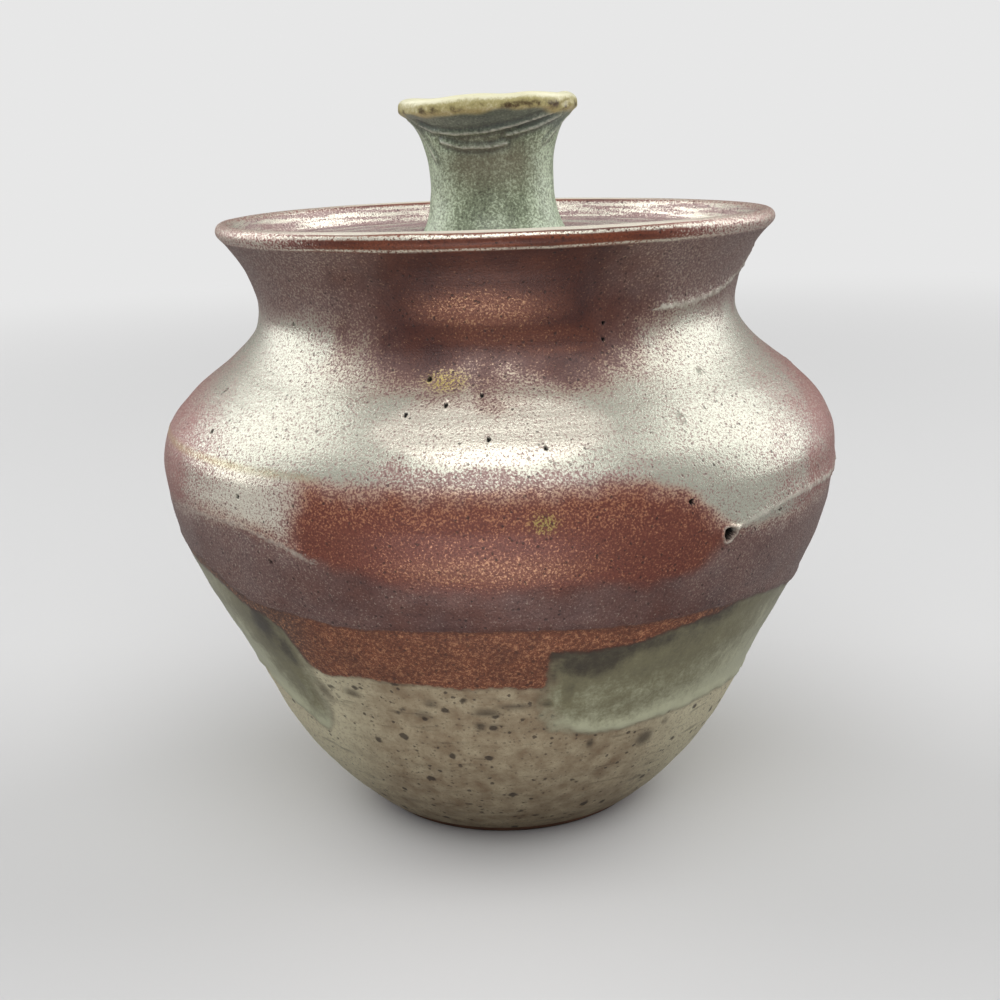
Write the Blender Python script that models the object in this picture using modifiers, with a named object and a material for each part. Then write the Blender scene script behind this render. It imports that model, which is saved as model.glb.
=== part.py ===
"""Thrown stoneware jar with a galleried neck, an inset lid and a hollow trumpet knob.

The jar is three fired pieces: the body, the lid that rests on a gallery inside the
neck, and the knob that is luted to the lid. The lid and its knob lift straight up.

Units are metres and +Z is up. The origin is the centre of the foot, on the surface
that the jar stands on. Every outline is a list of (radius, height) points.
"""

import math

import bpy
from mathutils import Vector

COLLECTION_NAME = "lidded_pottery_jar"

# Jar body, heights stacked from the foot up.
BELLY_HEIGHT = 0.0894
SHOULDER_RISE = 0.0330
COLLAR_RISE = 0.0206
HIP_HEIGHT = 0.0356

# Jar body, radii of the outside.
FOOT_RADIUS = 0.0338
HIP_FLARE = 0.0262
SHOULDER_RADIUS = 0.0800
NECK_RADIUS = 0.0562
COLLAR_FLARE = 0.0088
LIP_ROUND = 0.0019

# Jar body, slopes of the outside wall above the level.
FOOT_SLOPE = math.radians(39.0)
HIP_SLOPE = math.radians(68.0)
COLLAR_SLOPE = math.radians(38.5)
UPRIGHT = math.radians(90.0)

# How far each curve follows its end slopes, as shares of the height it climbs.
TOE_HANDLE_SHARES = (0.49, 0.37)
BELLY_HANDLE_SHARES = (0.34, 0.40)
SHOULDER_HANDLE_SHARES = (0.50, 0.38)
COLLAR_HANDLE_SHARES = (0.46, 0.13)

# Jar body, walls and floor.
BELLY_WALL = 0.0055
NECK_WALL = 0.0052
FLOOR_HEIGHT = 0.0075
INNER_SHOULDER_HANDLE_SHARES = (0.42, 0.47)
FLOOR_REACH_SHARE = 0.75
FLOOR_TURN_SHARE = 0.63

# Foot: a flat ring round a shallow trimmed recess.
FOOT_RING_WIDTH = 0.0060
FOOT_RECESS = 0.0022
FOOT_CHAMFER = 0.0006

# Gallery: the ledge inside the neck that carries the lid.
SEAT_DEPTH = 0.0096
GALLERY_WALL = 0.0045
LEDGE_WIDTH = 0.0067
LEDGE_THICKNESS = 0.0040
LEDGE_ROUND = 0.0012
LEDGE_HANDLE_SHARES = (0.25, 0.40)
LIP_INSIDE_TURN = math.radians(140.0)

# Lid: a shallow disc with a locating flange below it.
SEAT_GAP = 0.0003
LID_CLEARANCE = 0.0010
LID_THICKNESS = 0.0047
LID_DISH = 0.0008
LID_EDGE_ROUND = 0.0013
FLANGE_CLEARANCE = 0.0012
FLANGE_DEPTH = 0.0070
FLANGE_WALL = 0.0035
FLANGE_ROUND = 0.0012

# Knob: a small thrown trumpet, open at the top.
JOIN_GAP = 0.0003
KNOB_HEIGHT = 0.0316
KNOB_BASE_RADIUS = 0.0174
KNOB_WAIST_RADIUS = 0.0144
KNOB_WAIST_HEIGHT = 0.0120
KNOB_FLARE = 0.0065
KNOB_LIP_ROUND = 0.0016
KNOB_WALL = 0.0034
KNOB_FLOOR = 0.0060
KNOB_BASE_SLOPE = math.radians(125.0)
KNOB_LIP_SLOPE = math.radians(45.0)
KNOB_LIP_INSIDE_TURN = math.radians(150.0)
KNOB_BASE_HANDLE_SHARES = (0.20, 0.50)
KNOB_FLARE_HANDLE_SHARES = (0.50, 0.36)
KNOB_WELL_HANDLE_SHARES = (0.40, 0.30)
KNOB_WELL_REACH_SHARE = 0.80
KNOB_WELL_TURN_SHARE = 0.60

# Facets: turns round the axis, and segments in each stretch of an outline.
JAR_STEPS = 64
KNOB_STEPS = 48
CORNER_SEGMENTS = 3
MERGE_DISTANCE = 0.00001

# Base colour, roughness and metallic value of each piece.
JAR_FINISH = ((0.16, 0.045, 0.04, 1.0), 0.32, 0.0)
LID_FINISH = ((0.30, 0.14, 0.14, 1.0), 0.35, 0.0)
KNOB_FINISH = ((0.27, 0.30, 0.23, 1.0), 0.45, 0.0)

# Places that more than one piece uses.
NECK_HEIGHT = BELLY_HEIGHT + SHOULDER_RISE
RIM_HEIGHT = NECK_HEIGHT + COLLAR_RISE
RIM_RADIUS = NECK_RADIUS + COLLAR_FLARE
SEAT_HEIGHT = RIM_HEIGHT - SEAT_DEPTH


def point(radius, height):
    """One point of an outline."""
    return Vector((radius, height))


def along(start, slope, reach):
    """The point that lies a reach away from start, along a slope above the level."""
    return start + reach * Vector((math.cos(slope), math.sin(slope)))


def curve(start, start_handle, end_handle, end, segments):
    """Cubic curve from start to end, both included."""
    points = []
    for index in range(segments + 1):
        t = index / segments
        u = 1.0 - t
        points.append(
            u * u * u * start
            + 3.0 * u * u * t * start_handle
            + 3.0 * u * t * t * end_handle
            + t * t * t * end
        )
    return points


def climb(start, start_slope, end, end_slope, handle_shares, segments):
    """Curve that leaves start and reaches end on given slopes.

    The handles are shares of the height between the two points.
    """
    rise = abs(end.y - start.y)
    start_handle = along(start, start_slope, handle_shares[0] * rise)
    end_handle = along(end, end_slope, -handle_shares[1] * rise)
    return curve(start, start_handle, end_handle, end, segments)


def arc(centre, radius, start_angle, end_angle, segments):
    """Arc about a centre, angles counted from the outward level direction."""
    return [
        along(centre, start_angle + (end_angle - start_angle) * index / segments, radius)
        for index in range(segments + 1)
    ]


def rounded(before, corner, after, radius):
    """Short curve that rounds off a corner, never past the middle of a side."""
    towards_before = before - corner
    towards_after = after - corner
    reach_before = min(radius, towards_before.length / 2.0)
    reach_after = min(radius, towards_after.length / 2.0)
    start = corner + towards_before.normalized() * reach_before
    end = corner + towards_after.normalized() * reach_after
    points = []
    for index in range(CORNER_SEGMENTS + 1):
        t = index / CORNER_SEGMENTS
        u = 1.0 - t
        points.append(u * u * start + 2.0 * u * t * corner + t * t * end)
    return points


def radius_at(outline, height):
    """Radius at a height of an outline that rises from its first point to its last."""
    for lower, upper in zip(outline, outline[1:]):
        if lower.y <= height <= upper.y:
            share = (height - lower.y) / (upper.y - lower.y)
            return lower.x + share * (upper.x - lower.x)
    nearest = min(outline, key=lambda place: abs(place.y - height))
    return nearest.x


def without_repeats(outline):
    """The outline with each point that lies on the one before it left out."""
    kept = [outline[0]]
    for place in outline[1:]:
        if (place - kept[-1]).length > MERGE_DISTANCE:
            kept.append(place)
    return kept


def outer_wall():
    """Outside of the jar body, from the foot's edge up to the underside of the lip."""
    foot_edge = point(FOOT_RADIUS, FOOT_CHAMFER)
    hip = point(FOOT_RADIUS + HIP_FLARE, HIP_HEIGHT)
    shoulder = point(SHOULDER_RADIUS, BELLY_HEIGHT)
    neck = point(NECK_RADIUS, NECK_HEIGHT)
    lip_start = lip_round()[0]
    toe = climb(foot_edge, FOOT_SLOPE, hip, HIP_SLOPE, TOE_HANDLE_SHARES, 7)
    belly = climb(hip, HIP_SLOPE, shoulder, UPRIGHT, BELLY_HANDLE_SHARES, 8)
    chest = climb(shoulder, UPRIGHT, neck, UPRIGHT, SHOULDER_HANDLE_SHARES, 9)
    collar = climb(neck, UPRIGHT, lip_start, COLLAR_SLOPE, COLLAR_HANDLE_SHARES, 6)
    return toe + belly + chest + collar


def lip_round():
    """Rounded lip, from where the collar meets it over the crest to its inside."""
    centre = point(RIM_RADIUS - LIP_ROUND, RIM_HEIGHT - LIP_ROUND)
    return arc(centre, LIP_ROUND, COLLAR_SLOPE - UPRIGHT, LIP_INSIDE_TURN, 7)


def gallery_corner():
    """Inner foot of the flare, where the ledge for the lid begins."""
    outside = radius_at(outer_wall(), SEAT_HEIGHT)
    return point(outside - GALLERY_WALL, SEAT_HEIGHT)


def inner_flare():
    """Straight inside of the collar, from the gallery up to the lip."""
    return [gallery_corner(), lip_round()[-1]]


def ledge_radius():
    """Radius of the opening inside the gallery's ledge."""
    return gallery_corner().x - LEDGE_WIDTH


def inner_wall():
    """Inside of the jar body, from the middle of the floor up to the gallery's corner."""
    hip = point(FOOT_RADIUS + HIP_FLARE, HIP_HEIGHT)
    inner_hip = along(hip, HIP_SLOPE + UPRIGHT, BELLY_WALL)
    inner_shoulder = point(SHOULDER_RADIUS - BELLY_WALL, BELLY_HEIGHT)
    inner_neck = point(NECK_RADIUS - NECK_WALL, NECK_HEIGHT)
    middle = point(0.0, FLOOR_HEIGHT)
    floor_handle = point(FLOOR_REACH_SHARE * inner_hip.x, FLOOR_HEIGHT)
    turn = FLOOR_TURN_SHARE * (inner_hip.y - FLOOR_HEIGHT)
    floor = curve(middle, floor_handle, along(inner_hip, HIP_SLOPE, -turn), inner_hip, 6)
    belly = climb(inner_hip, HIP_SLOPE, inner_shoulder, UPRIGHT, BELLY_HANDLE_SHARES, 6)
    chest = climb(
        inner_shoulder, UPRIGHT, inner_neck, UPRIGHT, INNER_SHOULDER_HANDLE_SHARES, 6
    )
    ledge_top = point(ledge_radius(), SEAT_HEIGHT)
    ledge_foot = point(ledge_radius(), SEAT_HEIGHT - LEDGE_THICKNESS)
    underside = climb(
        inner_neck, UPRIGHT, ledge_foot, UPRIGHT, LEDGE_HANDLE_SHARES, 4
    )
    ledge = rounded(ledge_foot, ledge_top, gallery_corner(), LEDGE_ROUND)
    return floor + belly + chest + underside + ledge + [gallery_corner()]


def foot_underside():
    """Underside of the jar, from the foot's outer edge in to the axis."""
    ring_inside = FOOT_RADIUS - FOOT_RING_WIDTH
    return [
        point(FOOT_RADIUS - FOOT_CHAMFER, 0.0),
        point(ring_inside, 0.0),
        point(ring_inside - FOOT_RECESS, FOOT_RECESS),
        point(0.0, FOOT_RECESS),
    ]


def jar_outline():
    """Whole outline of the jar body, up its inside and down its outside."""
    outside_down = list(reversed(outer_wall()))
    lip_outward = list(reversed(lip_round()))
    return inner_wall() + lip_outward + outside_down + foot_underside()


def lid_outline():
    """Outline of the lid, measured from the height of its seat."""
    underside = SEAT_GAP
    top = underside + LID_THICKNESS
    flare = inner_flare()
    edge_top = point(radius_at(flare, SEAT_HEIGHT + top) - LID_CLEARANCE, top)
    edge_foot = point(radius_at(flare, SEAT_HEIGHT + underside) - LID_CLEARANCE, underside)
    knob_seat = point(KNOB_BASE_RADIUS + JOIN_GAP, top - LID_DISH)
    flange_outside = ledge_radius() - FLANGE_CLEARANCE
    flange_inside = flange_outside - FLANGE_WALL
    flange_root = point(flange_outside, underside)
    flange_toe = point(flange_outside, underside - FLANGE_DEPTH)
    flange_heel = point(flange_inside, underside - FLANGE_DEPTH)
    hollow = point(flange_inside, underside)
    return (
        [point(0.0, top - LID_DISH), knob_seat]
        + rounded(knob_seat, edge_top, edge_foot, LID_EDGE_ROUND)
        + rounded(edge_top, edge_foot, flange_root, LID_EDGE_ROUND)
        + [flange_root]
        + rounded(flange_root, flange_toe, flange_heel, FLANGE_ROUND)
        + rounded(flange_toe, flange_heel, hollow, FLANGE_ROUND)
        + rounded(flange_heel, hollow, point(0.0, underside), FLANGE_ROUND)
        + [point(0.0, underside)]
    )


def knob_outline():
    """Outline of the knob, measured from its own base."""
    base = point(KNOB_BASE_RADIUS, 0.0)
    waist = point(KNOB_WAIST_RADIUS, KNOB_WAIST_HEIGHT)
    lip_radius = KNOB_WAIST_RADIUS + KNOB_FLARE
    lip_centre = point(lip_radius - KNOB_LIP_ROUND, KNOB_HEIGHT - KNOB_LIP_ROUND)
    lip = arc(
        lip_centre, KNOB_LIP_ROUND, KNOB_LIP_SLOPE - UPRIGHT, KNOB_LIP_INSIDE_TURN, 6
    )
    stem = climb(base, KNOB_BASE_SLOPE, waist, UPRIGHT, KNOB_BASE_HANDLE_SHARES, 5)
    flare = climb(waist, UPRIGHT, lip[0], KNOB_LIP_SLOPE, KNOB_FLARE_HANDLE_SHARES, 7)
    well_waist = point(KNOB_WAIST_RADIUS - KNOB_WALL, KNOB_WAIST_HEIGHT)
    well_flare = climb(
        well_waist, UPRIGHT, lip[-1], KNOB_LIP_SLOPE, KNOB_WELL_HANDLE_SHARES, 6
    )
    well_handle = point(KNOB_WELL_REACH_SHARE * well_waist.x, KNOB_FLOOR)
    turn = KNOB_WELL_TURN_SHARE * (KNOB_WAIST_HEIGHT - KNOB_FLOOR)
    well = curve(
        point(0.0, KNOB_FLOOR), well_handle, along(well_waist, UPRIGHT, -turn), well_waist, 5
    )
    inside_up = well + well_flare
    outside_down = list(reversed(stem + flare + lip))
    return inside_up + outside_down + [point(0.0, 0.0)]


def glaze(name, finish):
    """Material with one piece's colour, roughness and metallic value."""
    colour, roughness, metallic = finish
    material = bpy.data.materials.new(name)
    material.use_nodes = True
    shader = material.node_tree.nodes["Principled BSDF"]
    shader.inputs["Base Color"].default_value = colour
    shader.inputs["Roughness"].default_value = roughness
    shader.inputs["Metallic"].default_value = metallic
    material.diffuse_color = colour
    return material


def turned_piece(name, outline, steps, finish, collection):
    """Piece thrown on the wheel: an outline turned once round the upright axis."""
    places = without_repeats(outline)
    mesh = bpy.data.meshes.new(name)
    vertices = [(place.x, 0.0, place.y) for place in places]
    edges = [(index, index + 1) for index in range(len(places) - 1)]
    mesh.from_pydata(vertices, edges, [])
    mesh.materials.append(glaze(name + "_finish", finish))
    piece = bpy.data.objects.new(name, mesh)
    collection.objects.link(piece)
    screw = piece.modifiers.new("turning", "SCREW")
    screw.axis = "Z"
    screw.steps = steps
    screw.render_steps = steps
    screw.use_merge_vertices = True
    screw.merge_threshold = MERGE_DISTANCE
    screw.use_smooth_shade = True
    return piece


def clear_scene():
    """Remove whatever the scene holds."""
    for thing in list(bpy.data.objects):
        bpy.data.objects.remove(thing, do_unlink=True)


def build():
    """Make the jar, its lid and the knob."""
    clear_scene()
    collection = bpy.data.collections.new(COLLECTION_NAME)
    bpy.context.scene.collection.children.link(collection)

    turned_piece("jar_body", jar_outline(), JAR_STEPS, JAR_FINISH, collection)

    lid_lift = bpy.data.objects.new("lid_lift", None)
    lid_lift.location = (0.0, 0.0, SEAT_HEIGHT)
    collection.objects.link(lid_lift)

    lid = turned_piece("lid", lid_outline(), JAR_STEPS, LID_FINISH, collection)
    lid.parent = lid_lift

    knob = turned_piece("lid_knob", knob_outline(), KNOB_STEPS, KNOB_FINISH, collection)
    knob.parent = lid_lift
    knob.location = (0.0, 0.0, SEAT_GAP + LID_THICKNESS - LID_DISH + JOIN_GAP)


if __name__ == "__main__":
    build()
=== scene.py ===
"""Looks of a lidded stoneware jar: its thrown surface, its glazes and its bare clay.

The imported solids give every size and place. Each piece is turned from the outline of
its own solid, and then gets what the hand and the kiln leave: throwing rings, thick
glaze edges, a burst blister, pinholes and beads. Names that end in _mm are in
millimetres and names that end in _deg in degrees. Everything else is in metres.

Azimuths run round the jar from the front, which faces -Y, towards +X at the right.
"""

import logging
import math
from dataclasses import dataclass, field
from enum import Enum

import bmesh
import bpy
import numpy as np
from mathutils import Matrix, Vector


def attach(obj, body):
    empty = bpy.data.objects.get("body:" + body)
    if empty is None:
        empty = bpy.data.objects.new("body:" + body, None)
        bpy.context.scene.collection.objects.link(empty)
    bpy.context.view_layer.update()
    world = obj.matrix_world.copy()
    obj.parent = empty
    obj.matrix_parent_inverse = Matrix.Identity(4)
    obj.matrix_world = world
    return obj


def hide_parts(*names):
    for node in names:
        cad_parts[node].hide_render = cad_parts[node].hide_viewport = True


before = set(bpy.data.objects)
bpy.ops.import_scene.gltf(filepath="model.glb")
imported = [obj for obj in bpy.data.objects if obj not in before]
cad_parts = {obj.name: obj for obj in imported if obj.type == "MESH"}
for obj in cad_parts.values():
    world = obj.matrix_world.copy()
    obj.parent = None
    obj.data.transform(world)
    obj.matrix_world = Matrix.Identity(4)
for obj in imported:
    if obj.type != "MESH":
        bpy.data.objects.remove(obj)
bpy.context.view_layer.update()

LOG = logging.getLogger("lidded_jar")
MM = 0.001
FULL_TURN_DEG = 360.0
GLAZE_IOR = 1.55
GLAZE_SPECULAR = 0.6

Colour = tuple[float, float, float, float]
Socket = bpy.types.NodeSocket
Sockets = bpy.types.bpy_prop_collection
Field = np.ndarray
Line = tuple[tuple[float, float], ...]


def srgb(red: float, green: float, blue: float) -> Colour:
    """Linear colour of a screen colour.

    Args:
        red, green, blue: Screen values from 0 to 255.

    Returns:
        The colour in linear light, with an alpha of 1.
    """
    shares = [value / 255.0 for value in (red, green, blue)]
    lin = [s / 12.92 if s <= 0.04045 else ((s + 0.055) / 1.055) ** 2.4 for s in shares]
    return (*lin, 1.0)


def grey(level: float) -> Colour:
    """Neutral linear colour of one level."""
    return (level, level, level, 1.0)


class Bench:
    """Short calls that add nodes to one tree and join them.

    A value given to a call is a number, vector or colour, which is set on the socket, or
    the output socket of another node, which is linked to it.
    """

    def __init__(self, tree: bpy.types.NodeTree) -> None:
        """Keep the tree that the nodes go into."""
        self.tree = tree

    def feed(self, socket: Socket, value: object) -> None:
        """Set a value on a socket, or link another socket to it.

        Args:
            socket: The input to fill.
            value: A constant, or the output to link.
        """
        if isinstance(value, bpy.types.NodeSocket):
            self.tree.links.new(value, socket)
        else:
            socket.default_value = value

    def add(self, kind: str, values: dict | None = None, **settings: object) -> bpy.types.Node:
        """Add one node.

        Args:
            kind: Blender's name for the node's type.
            values: What each input, by name or number, is given.
            **settings: Properties of the node itself.

        Returns:
            The new node.
        """
        node = self.tree.nodes.new(kind)
        for name, setting in settings.items():
            setattr(node, name, setting)
        for name, value in (values or {}).items():
            self.feed(node.inputs[name], value)
        return node

    def maths(self, operation: str, *values: object) -> Socket:
        """Result of one maths operation on numbers or sockets."""
        return self.add("ShaderNodeMath", dict(enumerate(values)), operation=operation).outputs[0]

    def product(self, *values: object) -> Socket:
        """Product of several numbers or sockets.

        Args:
            *values: The factors.

        Returns:
            The product.
        """
        result = values[0]
        for value in values[1:]:
            result = self.maths("MULTIPLY", result, value)
        return result

    def total(self, *values: object) -> Socket:
        """Sum of several numbers or sockets.

        Args:
            *values: The terms.

        Returns:
            The sum.
        """
        result = values[0]
        for value in values[1:]:
            result = self.maths("ADD", result, value)
        return result

    def rise(self, value: object, start: float, end: float) -> Socket:
        """Smooth step from 0 at start to 1 at end."""
        places = {0: value, 1: start, 2: end, 3: 0.0, 4: 1.0}
        return self.add("ShaderNodeMapRange", places, interpolation_type="SMOOTHSTEP").outputs[0]

    def hump(self, value: object, centre: float, half_width: float) -> Socket:
        """Smooth hump of height 1 at centre that ends half a width to each side."""
        off = self.maths("ABSOLUTE", self.maths("SUBTRACT", value, centre))
        return self.rise(off, half_width, 0.0)

    def mix(self, share: object, low: object, high: object) -> Socket:
        """Colour between low and high."""
        places = {0: share, 6: low, 7: high}
        return self.add("ShaderNodeMix", places, data_type="RGBA").outputs[2]

    def blend(self, share: object, low: object, high: object) -> Socket:
        """Number between low and high."""
        return self.add("ShaderNodeMix", {0: share, 2: low, 3: high}).outputs[0]

    def clamped(self, value: Socket) -> Socket:
        """Number kept from 0 to 1."""
        return self.add("ShaderNodeClamp", {0: value}).outputs[0]

    def inverse(self, value: Socket) -> Socket:
        """What is left of 1."""
        return self.maths("SUBTRACT", 1.0, value)

    def layered(self, colour: object, *layers: tuple) -> Socket:
        """Colour with tones laid over it in turn.

        Args:
            colour: What lies lowest.
            *layers: For each tone, its mask from 0 to 1, its strength and its colour.

        Returns:
            The colour that shows.
        """
        for mask, strength, tone in layers:
            colour = self.mix(self.product(mask, strength), colour, tone)
        return colour

    def noise(self, place: Socket, scale: Socket, detail: object, roughness: float = 0.5) -> Socket:
        """Smooth noise from 0 to 1, most of it near one half."""
        values = {"Vector": place, "Scale": scale, "Detail": detail, "Roughness": roughness}
        return self.add("ShaderNodeTexNoise", values).outputs[0]

    def spread(self, noise: Socket) -> Socket:
        """Noise spread out, so that it goes about from -1 to 1."""
        return self.maths("MULTIPLY_ADD", noise, 4.0, -2.0)

    def across_mm(self, place: Socket) -> Socket:
        """How far a place lies to the right of the axis, in mm."""
        return self.product(self.add("ShaderNodeSeparateXYZ", {0: place}).outputs[0], 1.0 / MM)

    def attribute(self, name: str) -> Socket:
        """Number that the mesh holds at each vertex."""
        node = self.add("ShaderNodeAttribute", attribute_name=name, attribute_type="GEOMETRY")
        return node.outputs["Fac"]

    def place(self) -> Socket:
        """Object coordinates."""
        return self.add("ShaderNodeTexCoord").outputs["Object"]

    def turned_place(self) -> Socket:
        """Object coordinates, with the distance along the outline as the height.

        Returns:
            The place as a vector.
        """
        split = self.add("ShaderNodeSeparateXYZ", {0: self.place()}).outputs
        along = self.product(self.attribute("along_mm"), MM)
        return self.add("ShaderNodeCombineXYZ", {0: split[0], 1: split[1], 2: along}).outputs[0]

    def group(self, tree: bpy.types.NodeTree, **values: object) -> bpy.types.Node:
        """Place a shared effect.

        Args:
            tree: The effect's group.
            **values: Its inputs by name.

        Returns:
            The group's node.
        """
        node = self.add("ShaderNodeGroup", node_tree=tree)
        for name, value in values.items():
            self.feed(node.inputs[name], value)
        return node


def new_group(
    name: str, inputs: dict[str, float | None], outputs: list[str]
) -> tuple[Bench, Sockets, Sockets]:
    """Start a shader node group.

    Args:
        name: The group's name.
        inputs: Named inputs with their defaults, None for a vector.
        outputs: Names of its outputs, each a number.

    Returns:
        The bench, what the inputs give, and what the outputs take, both by name.
    """
    tree = bpy.data.node_groups.new(name, "ShaderNodeTree")
    for key, default in inputs.items():
        kind = "NodeSocketVector" if default is None else "NodeSocketFloat"
        socket = tree.interface.new_socket(name=key, in_out="INPUT", socket_type=kind)
        if default is not None:
            socket.default_value = default
    for key in outputs:
        tree.interface.new_socket(name=key, in_out="OUTPUT", socket_type="NodeSocketFloat")
    bench = Bench(tree)
    return bench, bench.add("NodeGroupInput").outputs, bench.add("NodeGroupOutput").inputs


class Effects:
    """Shader node groups that more than one finish uses, each built once."""

    def __init__(self) -> None:
        """Build every group."""
        self.peel = self.orange_peel()
        self.spots = self.scattered_spots()
        self.edge = self.glaze_edge()
        self.lines = self.drawn_lines()
        self.cloud = self.cloudiness()

    @staticmethod
    def scale_of(bench: Bench, pitch: Socket) -> Socket:
        """Texture scale that puts a pattern's features one pitch, in mm, apart."""
        return bench.maths("DIVIDE", 1.0 / MM, pitch)

    def orange_peel(self) -> bpy.types.NodeTree:
        """Grainy skin of a satin glaze: Height goes about from -1 to 1.

        Returns:
            The group. Grit is how strongly a finer grain lies over the first.
        """
        finer = 2.7
        inputs = {"Place": None, "Pitch": 0.8, "Grit": 0.4}
        bench, given, result = new_group("orange_peel", inputs, ["Height"])
        scale = self.scale_of(bench, given["Pitch"])
        skin = bench.spread(bench.noise(given["Place"], scale, 1.0, 0.6))
        grit = bench.spread(bench.noise(given["Place"], bench.product(scale, finer), 1.0, 0.6))
        bench.feed(result["Height"], bench.total(skin, bench.product(grit, given["Grit"])))
        return bench.tree

    def scattered_spots(self) -> bpy.types.NodeTree:
        """Ragged spots of unlike size, one near each point of a loose grid.

        Returns:
            The group. Size and Blur are shares of the pitch, and Share is how many of the
            points have a spot.
        """
        finer = 3.0
        inputs = {"Place": None, "Pitch": 3.0, "Share": 0.6, "Size": 0.2, "Blur": 0.08, "Ragged": 0.12}
        bench, given, result = new_group("scattered_spots", inputs, ["Mask"])
        scale = self.scale_of(bench, given["Pitch"])
        cells = bench.add("ShaderNodeTexVoronoi", {"Vector": given["Place"], "Scale": scale})
        chance, size = bench.add("ShaderNodeSeparateColor", {0: cells.outputs["Color"]}).outputs[:2]
        fray = bench.maths("SUBTRACT", bench.noise(given["Place"], bench.product(scale, finer), 1.0), 0.5)
        off = bench.total(cells.outputs["Distance"], bench.product(fray, given["Ragged"]))
        reach = bench.product(given["Size"], bench.maths("MULTIPLY_ADD", size, 0.7, 0.3))
        spot = bench.rise(off, bench.total(reach, given["Blur"]), reach)
        there = bench.maths("LESS_THAN", chance, given["Share"])
        bench.feed(result["Mask"], bench.product(spot, there))
        return bench.tree

    def glaze_edge(self) -> bpy.types.NodeTree:
        """Where a coat ends: its frayed mask, and the stain that it leaves just below.

        Returns:
            The group. Distance is in mm from the edge, above zero where the coat is.
        """
        inputs = {"Place": None, "Distance": 0.0, "Wobble": 0.6, "Pitch": 2.5, "Blur": 0.25, "Stain": 1.2}
        bench, given, result = new_group("glaze_edge", inputs, ["Mask", "Stain"])
        noise = bench.noise(given["Place"], self.scale_of(bench, given["Pitch"]), 3.0)
        fray = bench.maths("MULTIPLY_ADD", noise, 2.0, -1.0)
        off = bench.total(given["Distance"], bench.product(fray, given["Wobble"]))
        bench.feed(result["Mask"], bench.rise(off, bench.product(given["Blur"], -1.0), given["Blur"]))
        depth = bench.maths("DIVIDE", bench.product(off, -1.0), given["Stain"])
        bench.feed(result["Stain"], bench.rise(depth, 1.0, 0.0))
        return bench.tree

    def drawn_lines(self) -> bpy.types.NodeTree:
        """Lines that a tool or a run of glaze draws out: Height goes about from -1 to 1.

        Returns:
            The group. Level and Upright say how many times longer than wide the lines are
            each way.
        """
        inputs = {"Place": None, "Pitch": 2.0, "Level": 12.0, "Upright": 1.0}
        bench, given, result = new_group("drawn_lines", inputs, ["Height"])
        across = bench.maths("DIVIDE", 1.0, given["Level"])
        upward = bench.maths("DIVIDE", 1.0, given["Upright"])
        factors = bench.add("ShaderNodeCombineXYZ", {0: across, 1: across, 2: upward}).outputs[0]
        drawn = bench.add("ShaderNodeVectorMath", {0: given["Place"], 1: factors}, operation="MULTIPLY")
        lines = bench.noise(drawn.outputs[0], self.scale_of(bench, given["Pitch"]), 2.0)
        bench.feed(result["Height"], bench.spread(lines))
        return bench.tree

    def cloudiness(self) -> bpy.types.NodeTree:
        """Broad uneven tone, from 0 to 1, with the contrast turned up.

        Returns:
            The group.
        """
        inputs = {"Place": None, "Pitch": 12.0, "Detail": 3.0, "Contrast": 2.0}
        bench, given, result = new_group("cloudiness", inputs, ["Tone"])
        noise = bench.noise(given["Place"], self.scale_of(bench, given["Pitch"]), given["Detail"])
        tone = bench.maths("MULTIPLY_ADD", bench.maths("SUBTRACT", noise, 0.5), given["Contrast"], 0.5)
        bench.feed(result["Tone"], bench.clamped(tone))
        return bench.tree


@dataclass(frozen=True)
class Cloud:
    """Sizes of a broad uneven tone."""

    pitch_mm: float
    contrast: float = 2.0
    detail: float = 3.0


@dataclass(frozen=True)
class Grain:
    """Sizes of a grainy skin."""

    pitch_mm: float
    grit: float = 0.4


@dataclass(frozen=True)
class Spots:
    """Sizes of scattered spots: size and blur are shares of the pitch."""

    pitch_mm: float
    share: float = 0.6
    size: float = 0.2
    blur: float = 0.08
    ragged: float = 0.12


@dataclass(frozen=True)
class Lines:
    """Sizes of drawn-out lines: how many times longer than wide they are each way."""

    pitch_mm: float
    level: float = 12.0
    upright: float = 1.0


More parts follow.
